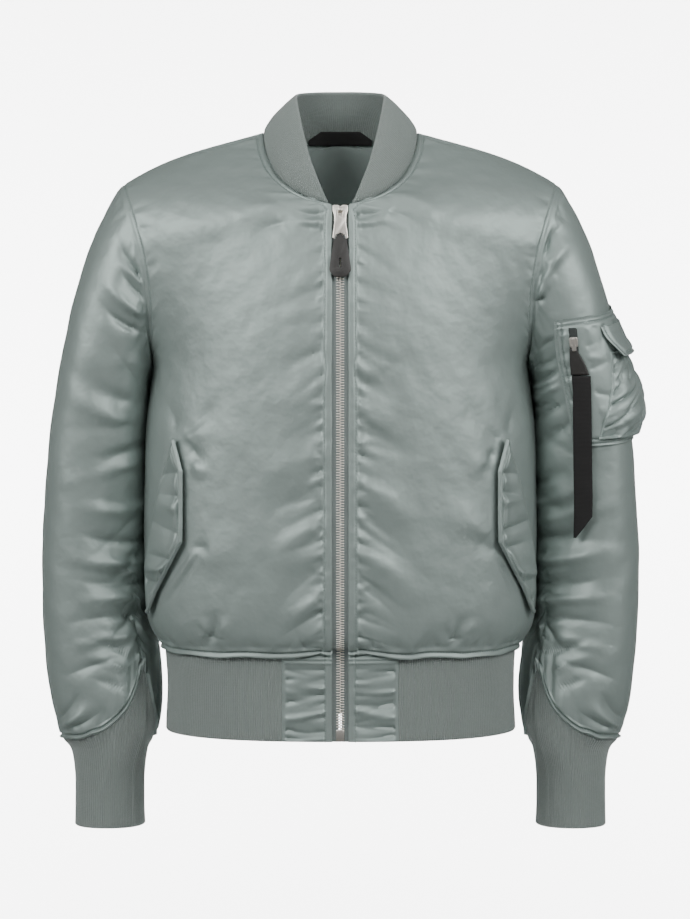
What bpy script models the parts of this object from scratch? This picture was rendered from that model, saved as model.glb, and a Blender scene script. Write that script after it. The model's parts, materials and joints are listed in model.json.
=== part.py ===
"""Bomber jacket, hollow as when worn: satin shell, rib-knit collar, cuffs and waistband, zips and pockets.

Metres, +Z up, the front faces -Y and the wearer's left arm is at +X. The origin lies between the neck
points, where the shoulders carry the jacket. Cloth pieces are walls lofted between unlike sections;
seams share their points and their normals, and each side of a seam steps back by half the seam gap.
"""

import math
from collections import namedtuple

import bmesh
import bpy
import numpy as np

# ---------------------------------------------------------------- driving sizes
SEAM_GAP = 0.0003          # between two pieces that are sewn together
SHELL_WALL = 0.0030        # satin, light padding and lining
RIB_WALL = 0.0028          # folded rib knit
RIB_RELIEF = 0.0007        # depth of a groove between two ribs
FLAP_WALL = 0.0022
PATCH_WALL = 0.0018
LINING_WALL = 0.0010

HEM_SEAM_Z = -0.552
HEM_BOTTOM_Z = -0.644
UNDERARM_Z = -0.255
ZIP_TOP_Z = -0.0795

FRONT_EDGE_X = 0.0085      # where each front stops beside the zip
PANEL_EDGE_X = 0.0625      # where the satin waistband panel meets the rib
BACK_TURN = 80.0           # degrees that a back section turns from the middle to the side seam
SHOULDER_TURN = 35.0       # the same for both panels at the shoulder seam
SHOULDER_RISE = 0.0055     # how far the shoulder rounds up over a straight line
FULL_DEPTH = 0.18          # how much fuller than an ellipse a section is
FULL_WIDTH = 0.08
PANEL_TRIM = 0.93          # share of a circle's turn that reaches the waistband panel, as a section is fuller

ARM_ROWS = 12              # rows of each panel from the underarm up to the shoulder
ARM_COLUMNS = 2 * ARM_ROWS
PANEL_COLUMNS = 3          # columns of a front over the waistband panel
SIDE_COLUMNS = 9           # columns of a front from there to the side seam
BACK_COLUMNS = 9           # columns of half the back
SLEEVE_ROWS = 22
COLLAR_RIBS = 4            # ribs to one span of the neckline
HEM_RIBS = 4               # ribs to one column of the shell
CUFF_RIBS = 2

GATHER_REACH = 0.055       # how far a pucker runs in from the zip
HEM_WAVE = 0.0025          # rise and fall of the waistband seam

TAPE_WALL = 0.0008
TAPE_DEPTH = 0.0040        # from the shell's outer face to the tape's
TAPE_EDGE_X = 0.0180
CHAIN_HALF_WIDTH = 0.0047
CHAIN_WALL = 0.0028
STOP_HEIGHT = 0.0130
PULL_PIVOT_DROP = 0.0060   # pivot below the top of the slider
PULL_EYE_HALF = 0.0026     # half the width of the hole that the arch passes through
PULL_EYE_DROP = 0.0064     # from the pivot to the foot of that hole
PULL_BAR = 0.0010          # half the height of the pull's bar
SLOT_HALF = 0.0012         # slot in the leather tab, and its two ends below the pivot
SLOT_TOP_DROP = 0.0520
SLOT_FOOT_DROP = 0.0620
SLIDER_WALL = 0.0036
PULL_WALL = 0.0013
LEATHER_WALL = 0.0018
ARCH_INNER = 0.0016        # radius of the space under the slider's arch, round the pull's bar
ARCH_BAR = 0.0010          # thickness of the arch
ARCH_WIDTH = 0.0034
ARCH_FOOT = 0.0028         # how far its feet reach below the bar, into the slider

SLEEVE_CLEAR = 0.0012      # from the sleeve's own surface to the underside of its pocket
SLEEVE_ZIP_WALL = 0.0016
SLEEVE_LEATHER_WALL = 0.0022
RIBBON_WALL = 0.0014
SLEEVE_SLIDER_WALL = 0.0030
ARM_AXIS = (0.262, 0.020)  # x and y of a line up the middle of the left arm

HANGER_HALF_FOOT = 0.0340  # hanger loop inside the back neck
HANGER_HALF_TOP = 0.0210
HANGER_FOOT_Z = -0.0135
HANGER_RISE = 0.0155
HANGER_END_RISE = 0.0060   # its height at the two ends
HANGER_WALL = 0.0012
HANGER_CLEAR = 0.0014      # from the lining to the loop

# ---------------------------------------------------------------- tables
# turn is the angle in degrees that a front section goes through from the zip to the side seam
Torso = namedtuple("Torso", "name z front_y back_y side_x side_y turn")
TORSO = [
    Torso("waistband seam", HEM_SEAM_Z, -0.1175, 0.1045, 0.1835, 0.016, 105.0),
    Torso("blouse", -0.543, -0.1255, 0.1130, 0.1935, 0.019, 105.0),
    Torso("overhang", -0.522, -0.1300, 0.1190, 0.2025, 0.024, 105.0),
    Torso("pocket foot", -0.470, -0.1320, 0.1205, 0.2080, 0.028, 102.0),
    Torso("waist", -0.380, -0.1285, 0.1160, 0.2085, 0.030, 101.0),
    Torso("ribs", -0.310, -0.1255, 0.1135, 0.2080, 0.030, 99.0),
    Torso("underarm", UNDERARM_Z, -0.1225, 0.1130, 0.2050, 0.028, 91.0),
]
HEM = [
    Torso("waistband seam", HEM_SEAM_Z, -0.1175, 0.1045, 0.1835, 0.016, 105.0),
    Torso("waistband middle", -0.598, -0.1160, 0.1025, 0.1815, 0.015, 105.0),
    Torso("waistband foot", HEM_BOTTOM_Z, -0.1170, 0.1040, 0.1830, 0.015, 105.0),
]

CENTRE_FRONT = [  # z and y of the zip line above the underarm
    (UNDERARM_Z, -0.1225), (-0.215, -0.1195), (-0.180, -0.1160), (-0.150, -0.1115),
    (-0.125, -0.1062), (-0.102, -0.1003), (ZIP_TOP_Z, -0.0945),
]
CENTRE_BACK = [   # z and y of the back's middle line above the underarm
    (UNDERARM_Z, 0.1130), (-0.220, 0.1120), (-0.185, 0.1100), (-0.150, 0.1060),
    (-0.115, 0.0990), (-0.080, 0.0890), (-0.045, 0.0755), (-0.012, 0.0620),
]

Neck = namedtuple("Neck", "name seam_x seam_y seam_z top_x top_y top_z")
NECK = [
    Neck("collar end", 0.0132, -0.0935, -0.0775, 0.0150, -0.0925, -0.0715),
    Neck("front 1", 0.0335, -0.0860, -0.0715, 0.0235, -0.0860, -0.0520),
    Neck("front 2", 0.0545, -0.0700, -0.0595, 0.0310, -0.0745, -0.0330),
    Neck("front 3", 0.0705, -0.0480, -0.0430, 0.0375, -0.0595, -0.0100),
    Neck("front 4", 0.0805, -0.0235, -0.0215, 0.0440, -0.0370, 0.0170),
    Neck("neck point", 0.0840, 0.0000, 0.0000, 0.0475, -0.0060, 0.0370),
    Neck("back 1", 0.0790, 0.0185, -0.0025, 0.0465, 0.0140, 0.0420),
    Neck("back 2", 0.0665, 0.0360, -0.0060, 0.0400, 0.0300, 0.0440),
    Neck("back 3", 0.0470, 0.0510, -0.0095, 0.0290, 0.0410, 0.0450),
    Neck("back 4", 0.0240, 0.0595, -0.0115, 0.0150, 0.0475, 0.0455),
    Neck("centre back", 0.0000, 0.0620, -0.0120, 0.0000, 0.0495, 0.0455),
]
NECK_POINT = 5             # row of NECK at the shoulder seam
COLLAR_BULGE = 0.0035

Arm = namedtuple("Arm", "name out_x out_y out_z in_x in_y in_z front back inset full")
ARM = [
    Arm("armhole", 0.2375, 0.000, -0.0580, 0.2050, 0.028, UNDERARM_Z, 0.074, 0.070, 0.012, 0.00),
    Arm("cap", 0.2625, 0.008, -0.104, 0.2100, 0.036, -0.272, 0.080, 0.073, 0.006, 0.05),
    Arm("upper arm", 0.2868, 0.014, -0.172, 0.2105, 0.044, -0.300, 0.084, 0.076, 0.002, 0.10),
    Arm("biceps", 0.3055, 0.020, -0.258, 0.2100, 0.048, -0.350, 0.085, 0.077, 0.000, 0.12),
    Arm("lower biceps", 0.3178, 0.024, -0.342, 0.2105, 0.050, -0.405, 0.084, 0.076, 0.000, 0.12),
    Arm("elbow", 0.3240, 0.026, -0.418, 0.2105, 0.050, -0.460, 0.083, 0.075, 0.000, 0.12),
    Arm("below elbow", 0.3255, 0.024, -0.490, 0.2085, 0.048, -0.512, 0.081, 0.073, 0.000, 0.12),
    Arm("forearm", 0.3230, 0.018, -0.550, 0.1990, 0.038, -0.556, 0.075, 0.070, 0.000, 0.10),
    Arm("wrist fullness", 0.3170, 0.010, -0.602, 0.1935, 0.018, -0.602, 0.065, 0.063, 0.000, 0.08),
    Arm("roll over cuff", 0.3100, 0.004, -0.636, 0.1965, 0.008, -0.636, 0.056, 0.055, 0.000, 0.06),
    Arm("cuff seam", 0.3010, 0.000, -0.6585, 0.2040, 0.002, -0.6585, 0.045, 0.045, 0.000, 0.04),
    Arm("cuff top", 0.2895, -0.002, -0.675, 0.2115, 0.000, -0.675, 0.038, 0.038, 0.000, 0.04),
    Arm("cuff middle", 0.2880, -0.004, -0.710, 0.2130, -0.002, -0.710, 0.036, 0.036, 0.000, 0.04),
    Arm("cuff end", 0.2885, -0.006, -0.749, 0.2125, -0.004, -0.749, 0.036, 0.036, 0.000, 0.04),
]

# The wrist edge of a sleeve, round the arm from its outer side (0) over the front (90) to the body (180).
Wrist = namedtuple("Wrist", "name column_deg edge_deg z")
WRIST = [
    Wrist("outer side", 0.0, 0.0, -0.6560),
    Wrist("outer front", 60.0, 62.0, -0.6520),
    Wrist("front", 90.0, 88.0, -0.6420),
    Wrist("gusset foot", 105.0, 110.0, -0.6240),
    Wrist("gusset side", 120.0, 124.0, -0.5980),
    Wrist("gusset point", 135.0, 136.0, -0.5660),
    Wrist("gusset inner side", 150.0, 144.0, -0.6060),
    Wrist("gusset inner foot", 165.0, 157.0, -0.6320),
    Wrist("body side", 180.0, 172.0, -0.6520),
    Wrist("inner back", 210.0, 205.0, -0.6565),
    Wrist("back", 270.0, 268.0, -0.6570),
    Wrist("outer side again", 360.0, 360.0, -0.6560),
]

Flap = namedtuple("Flap", "name z inner_x outer_x ripple")
FLAP = [
    Flap("point", -0.3260, 0.1722, 0.1748, 0.0000),
    Flap("corner", -0.3600, 0.1635, 0.1885, 0.0000),
    Flap("upper", -0.3880, 0.1635, 0.1955, 0.0012),
    Flap("middle", -0.4130, 0.1635, 0.2010, 0.0000),
    Flap("knee", -0.4350, 0.1640, 0.2050, 0.0014),
    Flap("lower", -0.4640, 0.1785, 0.2085, 0.0000),
    Flap("diagonal", -0.4900, 0.1915, 0.2085, 0.0010),
    Flap("foot", -0.5145, 0.2010, 0.2040, 0.0000),
]
FLAP_LIFT = (0.0038, 0.0027, 0.0015, 0.0006)   # how far the flap stands off, from its inner edge outwards

# A soft crease or ridge as seen from in front or from behind: a line, its width and its height.
Fold = namedtuple("Fold", "piece x0 z0 x1 z1 width height")
FOLDS = [
    Fold("front_right", -0.056, -0.165, -0.150, -0.130, 0.020, -0.0020),
    Fold("front_right", -0.060, -0.250, -0.180, -0.200, 0.026, 0.0025),
    Fold("front_right", -0.170, -0.320, -0.110, -0.250, 0.018, -0.0025),
    Fold("front_right", -0.140, -0.450, -0.060, -0.400, 0.022, 0.0020),
    Fold("front_right", -0.130, -0.510, -0.060, -0.480, 0.020, -0.0020),
    Fold("front_left", 0.056, -0.146, 0.140, -0.120, 0.020, -0.0020),
    Fold("front_left", 0.060, -0.260, 0.175, -0.215, 0.026, 0.0025),
    Fold("front_left", 0.170, -0.320, 0.120, -0.260, 0.018, -0.0025),
    Fold("front_left", 0.140, -0.440, 0.050, -0.370, 0.022, 0.0022),
    Fold("front_left", 0.120, -0.515, 0.062, -0.465, 0.020, -0.0022),
    Fold("back", -0.120, -0.120, 0.110, -0.145, 0.028, 0.0025),
    Fold("back", -0.160, -0.260, -0.060, -0.310, 0.026, -0.0025),
    Fold("back", 0.150, -0.250, 0.070, -0.330, 0.026, -0.0022),
    Fold("back", -0.130, -0.420, 0.040, -0.450, 0.028, 0.0025),
    Fold("back", 0.150, -0.470, 0.030, -0.505, 0.024, -0.0020),
    Fold("sleeve_right", -0.262, -0.125, -0.212, -0.200, 0.012, -0.0040),
    Fold("sleeve_right", -0.275, -0.155, -0.222, -0.235, 0.012, 0.0030),
    Fold("sleeve_right", -0.290, -0.250, -0.235, -0.330, 0.016, -0.0030),
    Fold("sleeve_right", -0.300, -0.395, -0.235, -0.430, 0.015, -0.0035),
    Fold("sleeve_right", -0.305, -0.450, -0.232, -0.480, 0.014, 0.0030),
    Fold("sleeve_right", -0.305, -0.520, -0.232, -0.510, 0.014, -0.0030),
    Fold("sleeve_right", -0.300, -0.570, -0.240, -0.550, 0.014, 0.0025),
    Fold("sleeve_left", 0.262, -0.120, 0.212, -0.195, 0.012, -0.0040),
    Fold("sleeve_left", 0.290, -0.385, 0.235, -0.355, 0.015, -0.0032),
    Fold("sleeve_left", 0.300, -0.440, 0.232, -0.470, 0.014, 0.0030),
    Fold("sleeve_left", 0.308, -0.500, 0.232, -0.505, 0.014, -0.0032),
    Fold("sleeve_left", 0.300, -0.560, 0.240, -0.545, 0.014, 0.0028),
]
BACK_FOLDS = [  # the same on the sleeves' hidden half
    Fold("sleeve_right", -0.270, -0.150, -0.215, -0.220, 0.014, -0.0035),
    Fold("sleeve_right", -0.300, -0.360, -0.230, -0.400, 0.016, -0.0035),
    Fold("sleeve_right", -0.308, -0.440, -0.230, -0.450, 0.015, 0.0030),
    Fold("sleeve_right", -0.305, -0.540, -0.235, -0.520, 0.015, -0.0030),
    Fold("sleeve_left", 0.268, -0.145, 0.215, -0.215, 0.014, -0.0035),
    Fold("sleeve_left", 0.300, -0.370, 0.232, -0.405, 0.016, -0.0032),
    Fold("sleeve_left", 0.308, -0.455, 0.232, -0.460, 0.015, 0.0030),
    Fold("sleeve_left", 0.305, -0.530, 0.238, -0.525, 0.015, -0.0030),
]
ZIP_GATHERS = (0.0012, 0.0018, 0.0009, 0.0015, 0.0020, 0.0010, 0.0016)  # heights, in turn up the zip
CUFF_GATHERS = (0.0030, 0.0018, 0.0026, 0.0034, 0.0016, 0.0028, 0.0022, 0.0032)
CUFF_GATHER_FADE = (1.0, 0.8, 0.45)    # share of a gather's height on the rows above the wrist edge

# Sleeve pocket on the wearer's left arm: front edge by x, rear edge by the angle round the arm.
Pocket = namedtuple("Pocket", "name front_x front_z rear_deg rear_z")
POCKET = [
    Pocket("top", 0.2275, -0.2015, -38.0, -0.1815),
    Pocket("upper", 0.2305, -0.2350, -38.0, -0.2180),
    Pocket("middle", 0.2385, -0.2720, -38.0, -0.2560),
    Pocket("lower", 0.2450, -0.3060, -38.0, -0.2930),
    Pocket("bottom", 0.2490, -0.3370, -38.0, -0.3260),
]
PEN_POCKET = [
    Pocket("mouth", 0.2840, -0.2360, -30.0, -0.2250),
    Pocket("upper", 0.2860, -0.2600, -30.0, -0.2520),
    Pocket("middle", 0.2850, -0.2830, -30.0, -0.2780),
    Pocket("lower", 0.2800, -0.3060, -30.0, -0.3020),
    Pocket("bottom", 0.2750, -0.3280, -30.0, -0.3230),
]
PEN_FLAP = [
    Pocket("top", 0.2740, -0.2090, -26.0, -0.1990),
    Pocket("upper", 0.2780, -0.2200, -26.0, -0.2100),
    Pocket("middle", 0.2840, -0.2310, -26.0, -0.2230),
    Pocket("lower", 0.2900, -0.2420, -20.0, -0.2360),
]
PEN_BULGE = (0.002, 0.010, 0.0155, 0.0155, 0.005)    # how far each row of the pen pocket stands out
PEN_FLAP_LIFT = (0.0014, 0.0034, 0.0075, 0.0120)   # how far each row of its flap does

Strip = namedtuple("Strip", "name z left_x right_x")
SLEEVE_ZIP = [Strip("top", -0.2090, 0.2425, 0.2510), Strip("second", -0.2400, 0.2455, 0.2540),
              Strip("third", -0.2700, 0.2485, 0.2570), Strip("bottom", -0.3000, 0.2515, 0.2600)]
SLEEVE_LEATHER = [Strip("top", -0.2305, 0.2445, 0.2510), Strip("middle", -0.2450, 0.2455, 0.2590),
                  Strip("bottom", -0.2590, 0.2470, 0.2645)]
RIBBON = [Strip("knot", -0.2600, 0.2475, 0.2655), Strip("below knot", -0.2750, 0.2490, 0.2665),
          Strip("upper", -0.3150, 0.2500, 0.2680), Strip("middle", -0.3550, 0.2510, 0.2690),
          Strip("lower", -0.3900, 0.2520, 0.2700), Strip("cut corner", -0.4110, 0.2522, 0.2700),
          Strip("tip", -0.4340, 0.2520, 0.2545)]

SLEEVE_SLIDER = [Strip("top", -0.2180, 0.2425, 0.2515), Strip("bottom", -0.2298, 0.2435, 0.2525)]

# Half outlines: half the width at each drop, from the top edge's middle round to the foot's.
Edge = namedtuple("Edge", "name half_x drop")
SLIDER_EDGE = [
    Edge("notch between the wings", 0.0, 0.0018),
    Edge("inner tip of a wing", 0.0024, 0.0),
    Edge("outer tip of a wing", 0.0070, 0.0),
    Edge("wing's corner", 0.0080, 0.0010),
    Edge("wing's side", 0.0080, 0.0060),
    Edge("waist", 0.0064, 0.0110),
    Edge("foot", 0.0060, 0.0230),
]
PULL_EDGE = [      # drops from the pivot
    Edge("top corner", 0.0046, -0.0010),
    Edge("side of the bar", 0.0056, 0.0),
    Edge("neck", 0.0056, 0.0100),
    Edge("foot's side", 0.0082, 0.0300),
    Edge("foot's corner", 0.0072, 0.0310),
    Edge("mouth's corner", 0.0058, 0.0310),
    Edge("mouth's side", 0.0046, 0.0268),
    Edge("top of the mouth", 0.0, 0.0248),
]
LEATHER_EDGE = [   # drops from the pivot
    Edge("tip inside the pull's mouth", 0.0, 0.0258),
    Edge("side of the tip", 0.0033, 0.0280),
    Edge("mouth's side", 0.0043, 0.0313),
    Edge("shoulder", 0.0068, 0.0316),
    Edge("widest", 0.0115, 0.0635),
    Edge("below widest", 0.0110, 0.0660),
    Edge("chamfer", 0.0065, 0.0716),
    Edge("foot", 0.0050, 0.0720),
]

Finish = namedtuple("Finish", "name rgb roughness metallic")
FINISHES = {
    "satin": Finish("satin nylon", (0.270, 0.315, 0.300), 0.42, 0.0),
    "rib": Finish("rib knit", (0.190, 0.215, 0.205), 0.90, 0.0),
    "lining": Finish("lining satin", (0.120, 0.160, 0.150), 0.45, 0.0),
    "tape": Finish("woven tape", (0.190, 0.210, 0.205), 0.85, 0.0),
    "metal": Finish("nickel", (0.780, 0.740, 0.680), 0.25, 1.0),
    "black": Finish("black leather and ribbon", (0.020, 0.020, 0.018), 0.60, 0.0),
}


# ---------------------------------------------------------------- curves and sections
def columns_of(table, *names):
    """Named columns of a table as an array, a row for each entry."""
    return np.array([[getattr(row, name) for name in names] for row in table], float)


def spline(knots, values, where):
    """Smooth curve through the values at the knots, read at each place in where."""
    knots, values = np.asarray(knots, float), np.asarray(values, float)
    where = np.clip(np.atleast_1d(np.asarray(where, float)), knots[0], knots[-1])
    slopes = np.gradient(values, knots, axis=0)
    span = np.clip(np.searchsorted(knots, where, side="right") - 1, 0, len(knots) - 2)
    width = knots[span + 1] - knots[span]
    t = (where - knots[span]) / width
    shape = (-1,) + (1,) * (values.ndim - 1)
    t, width = t.reshape(shape), width.reshape(shape)
    return ((2 * t**3 - 3 * t**2 + 1) * values[span] + (t**3 - 2 * t**2 + t) * width * slopes[span]
            + (3 * t**2 - 2 * t**3) * values[span + 1] + (t**3 - t**2) * width * slopes[span + 1])


def unit(vectors):
    return vectors / np.linalg.norm(vectors, axis=-1, keepdims=True)


def section_point(inner, outer, turn_deg, share):
    """Point of a horizontal section, from the middle (share 0) round to the side (share 1)."""
    turn = math.radians(turn_deg)
    t = share * turn
    across = math.sin(t) * (1 + FULL_WIDTH * math.cos(t) ** 2 * (1 - share))
    deep = math.cos(t) * (1 + FULL_DEPTH * math.sin(t) ** 2 * (1 - share))
    across /= math.sin(turn)
    deep = (deep - math.cos(turn)) / (1 - math.cos(turn))
    return np.array([
        inner[0] + (outer[0] - inner[0]) * across,
        outer[1] + (inner[1] - outer[1]) * deep,
        inner[2] + (outer[2] - inner[2]) * share,
    ])


def arm_point(angle_deg, ring):
    """Point of the wearer's left arm, at an angle round it and at a ring of the ARM table."""
    names = ("out_x", "out_y", "out_z", "in_x", "in_y", "in_z", "front", "back", "inset", "full")
    row = spline(range(len(ARM)), columns_of(ARM, *names), ring)[0]
    outer, inner, front, back, inset, full = row[:3], row[3:6], row[6], row[7], row[8], row[9]
    angle = math.radians(angle_deg)
    across = math.cos(angle) * (1 + full * math.sin(angle) ** 2)
    deep = math.sin(angle) * (1 + full * math.cos(angle) ** 2)
    depth = front if deep > 0 else back
    middle = (outer + inner) / 2
    point = middle + (outer - inner) / 2 * across
    return point - np.array([inset * math.sin(angle) ** 2, deep * depth, 0.0])


def ring_at_height(angle_deg, z):
    """Ring number where the arm reaches a height at this angle."""
    low, high = 0.0, len(ARM) - 1.0
    for _ in range(40):
        middle = (low + high) / 2
        if arm_point(angle_deg, middle)[2] > z:
            low = middle
        else:
            high = middle
    return (low + high) / 2


def armhole_normal(angle_deg):
    """Outward direction of the armhole seam in its own plane, with the seam's axis across it."""
    top, bottom = arm_point(0.0, 0.0), arm_point(180.0, 0.0)
    up = unit(top - bottom)
    angle = math.radians(angle_deg)
    normal = unit(math.cos(angle) * up + math.sin(angle) * np.array([0.0, -1.0, 0.0]))
    axis = unit(np.cross(np.array([0.0, -1.0, 0.0]), up))
    return normal, axis if axis[0] > 0 else -axis


def torso_row(table, z):
    """Front depth, back depth, side seam and turn of the torso or the waistband at a height."""
    up = sorted(table, key=lambda row: row.z)
    names = ("front_y", "back_y", "side_x", "side_y", "turn")
    return spline([row.z for row in up], columns_of(up, *names), z)[0]


def front_surface(share, z, table=None):
    """Outer point of the left front, or of the waistband's front, at a share of its section."""
    front_y, _, side_x, side_y, turn = torso_row(table or TORSO, z)
    return section_point((FRONT_EDGE_X, front_y, z), (side_x, side_y, z), turn, share)


def back_surface(share, z, table=None):
    """Outer point of the left half of the back, or of the waistband's back."""
    _, back_y, side_x, side_y, _ = torso_row(table or TORSO, z)
    return section_point((0.0, back_y, z), (side_x, side_y, z), BACK_TURN, share)


def arm_surface(angle_deg, z):
    """Outer point of the left arm at an angle round it and a height."""
    return arm_point(angle_deg, ring_at_height(angle_deg, z))


def around_at(surface, x, z, low, high):
    """Share or angle between low and high at which a surface shows at x when seen from in front."""
    rising = surface(high, z)[0] > surface(low, z)[0]
    for _ in range(30):
        middle = (low + high) / 2
        if (surface(middle, z)[0] < x) == rising:
            low = middle
        else:
            high = middle
    return (low + high) / 2


# ---------------------------------------------------------------- torso panels
def lower_rows():
    """Heights of the rows from the waistband seam to the underarm."""
    blouse = [HEM_SEAM_Z, -0.545, -0.533, -0.515]
    return np.array(blouse + list(np.linspace(-0.515, UNDERARM_Z, 13)[1:]))


def front_shares():
    """Shares of the section at a front's columns: three over the waistband panel, then the side."""
    seam = TORSO[0]
    reach = (PANEL_EDGE_X - FRONT_EDGE_X) / (seam.side_x - FRONT_EDGE_X)
    split = math.degrees(math.asin(reach * math.sin(math.radians(seam.turn)))) / seam.turn * PANEL_TRIM
    first = np.linspace(0.0, split, PANEL_COLUMNS + 1)
    return np.concatenate([first, np.linspace(split, 1.0, SIDE_COLUMNS + 1)[1:]])


def back_shares():
    return np.linspace(0.0, 1.0, BACK_COLUMNS + 1)


def seam_lift(share, is_front):
    """Height of the waistband seam over its level: a slow wave, none at the zip and the side."""
    waves = 3 if is_front else 2
    return HEM_WAVE * math.sin(math.pi * waves * share) * math.sin(math.pi * share)


def panel_grid(is_front):
    """Outer points of the wearer's left half of a torso panel: rows from the waistband to the shoulder."""
    shares = front_shares() if is_front else back_shares()
    surface = front_surface if is_front else back_surface
    turn = TORSO[-1].turn if is_front else BACK_TURN
    edge_x = FRONT_EDGE_X if is_front else 0.0
    grid = [[surface(share, z) for share in shares] for z in lower_rows()]
    for column, share in enumerate(shares):
        grid[0][column][2] += seam_lift(share, is_front)
    middle = CENTRE_FRONT if is_front else CENTRE_BACK
    seam = columns_of(NECK, "seam_x", "seam_y", "seam_z")
    neck = list(seam[:NECK_POINT + 1]) if is_front else list(seam[:NECK_POINT - 1:-1])[1:]
    inner = [np.array([edge_x, y, z]) for z, y in middle] + neck
    for step in range(1, ARM_ROWS + 1):
        angle = 180.0 * (1 - step / ARM_ROWS)
        outer = arm_point(angle if is_front else -angle, 0.0)
        row_turn = turn + (SHOULDER_TURN - turn) * step / ARM_ROWS
        row = np.array([section_point(inner[step], outer, row_turn, s) for s in shares])
        row[:, 2] += SHOULDER_RISE * (step / ARM_ROWS) ** 2 * np.sin(math.pi * shares**1.3)
        grid.append(row)
    return np.array(grid)


def grid_normals(grid, closed=False):
    """Unit normals of a grid of points, to the right of up along the columns."""
    up = np.gradient(grid, axis=0)
    if closed:
        along = (np.roll(grid, -1, axis=1) - np.roll(grid, 1, axis=1)) / 2
    else:
        along = np.gradient(grid, axis=1)
    return unit(np.cross(along, up))


def mirrored(vectors):
    return vectors * np.array([-1.0, 1.0, 1.0])


def torso_normals():
    """Normals of both panels, shared along the waistband, side and shoulder seams and the armhole."""
    front, back = panel_grid(True), panel_grid(False)
    front_n, back_n = grid_normals(front), -grid_normals(back)
    low = len(lower_rows())
    for panel in (front_n, back_n):
        panel[0, :, 2] = 0.0
        panel[0] = unit(panel[0])
    back_neck = len(back) - (len(NECK) - NECK_POINT)
    back_n[:back_neck + 1, 0, 0] = 0.0
    back_n[:] = unit(back_n)
    side = unit(front_n[:low, -1] + back_n[:low, -1])
    front_n[:low, -1] = side
    back_n[:low, -1] = side
    shoulder = unit(front_n[-1, -1] + back_n[-1, -1])
    front_n[-1] = shoulder
    back_n[-1] = shoulder
    for step in range(ARM_ROWS + 1):
        angle = 180.0 * (1 - step / ARM_ROWS)
        front_n[low - 1 + step, -1] = armhole_normal(angle)[0]
        back_n[low - 1 + step, -1] = armhole_normal(-angle)[0]
    collar_n = collar_normals()
    first = len(front) - 1 - NECK_POINT
    for index in range(NECK_POINT + 1):
        front_n[first + index, 0] = unit(front_n[first + index, 0] + collar_n[index])
    for index in range(NECK_POINT, len(NECK)):
        row = len(back) - 1 - (index - NECK_POINT)
        back_n[row, 0] = unit(back_n[row, 0] + collar_n[index])
    back_n[back_neck, 0] = unit(back_n[back_neck, 0] * np.array([0.0, 1.0, 1.0]))
    front_n[-1, 0] = back_n[-1, 0] = unit(shoulder + collar_n[NECK_POINT])
    return front, front_n, back, back_n


def fold_height(points, normals, piece, folds, facing):
    """Height of the named folds at each point, on the half of the piece that faces forward or back."""
    height = np.zeros(points.shape[:-1])
    for fold in folds:
        if fold.piece != piece:
            continue
        start, end = np.array([fold.x0, fold.z0]), np.array([fold.x1, fold.z1])
        along = end - start
        flat = points[..., [0, 2]] - start
        share = np.clip(flat @ along / (along @ along), 0.0, 1.0)
        distance = np.linalg.norm(flat - share[..., None] * along, axis=-1)
        height += fold.height * np.exp(-((distance / fold.width) ** 2))
    return height * np.clip(facing * normals[..., 1] * 1.6, 0.0, 1.0)


def away_from_seams(rows, columns, inner_free):
    """1 inside a grid and 0 along its seams, so that folds die out there."""
    mask = np.ones((rows, columns))
    mask[[0, -1], :] = 0.0
    mask[:, -1] = 0.0
    if not inner_free:
        mask[:, 0] = 0.0
    return mask


def zip_gathers(rows, columns, grid):
    """Puckers along the zip: every second row stands out, by heights taken in turn."""
    height = np.zeros((rows, columns))
    for row in range(2, rows - 1, 2):
        reach = np.clip(1 - (np.abs(grid[row, :, 0]) - FRONT_EDGE_X) / GATHER_REACH, 0.0, 1.0)
        height[row] = ZIP_GATHERS[row // 2 % len(ZIP_GATHERS)] * reach**1.5
    return height


# ---------------------------------------------------------------- walls
def new_object(name, mesh_builder, finish):
    """Object of a bmesh, in the jacket's collection, smooth shaded with its own material."""
    mesh = bpy.data.meshes.new(name)
    bmesh.ops.recalc_face_normals(mesh_builder, faces=mesh_builder.faces)
    mesh_builder.to_mesh(mesh)
    mesh_builder.free()
    mesh.shade_smooth()
    mesh.set_sharp_from_angle(angle=math.radians(40))
    return add_object(name, mesh, finish)


def add_object(name, data, finish):
    """Object in the jacket's collection with a material of its own."""
    obj = bpy.data.objects.new(name, data)
    bpy.data.collections["bomber_jacket"].objects.link(obj)
    look = FINISHES[finish]
    material = bpy.data.materials.new(f"{name} {look.name}")
    material.use_nodes = True
    shader = material.node_tree.nodes["Principled BSDF"]
    shader.inputs["Base Color"].default_value = (*look.rgb, 1.0)
    shader.inputs["Roughness"].default_value = look.roughness
    shader.inputs["Metallic"].default_value = look.metallic
    data.materials.clear()
    data.materials.append(material)
    return obj


def wall(name, finish, outer, inner, closed=False, stride=1):
    """Closed wall between a grid of outer points and a plain grid with every stride-th column of it."""
    builder = bmesh.new()
    out = [[builder.verts.new(p) for p in row] for row in outer]
    ins = [[builder.verts.new(p) for p in row[::stride]] for row in inner]
    rows, columns, plain = len(out), len(out[0]), len(ins[0])
    for row in range(rows - 1):
        for column in range(columns if closed else columns - 1):
            nxt = (column + 1) % columns
            builder.faces.new([out[row][column], out[row][nxt], out[row + 1][nxt], out[row + 1][column]])
        for column in range(plain if closed else plain - 1):
            nxt = (column + 1) % plain
            builder.faces.new([ins[row][column], ins[row + 1][column], ins[row + 1][nxt], ins[row][nxt]])
    for row in (0, rows - 1):
        for column in range(plain if closed else plain - 1):
            block = [out[row][(column * stride + k) % columns] for k in range(stride, -1, -1)]
            builder.faces.new([ins[row][column], ins[row][(column + 1) % plain], *block])
    if not closed:
        for side in (0, -1):
            for row in range(rows - 1):
                builder.faces.new([out[row][side], out[row + 1][side], ins[row + 1][side], ins[row][side]])
    return new_object(name, builder, finish)


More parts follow.
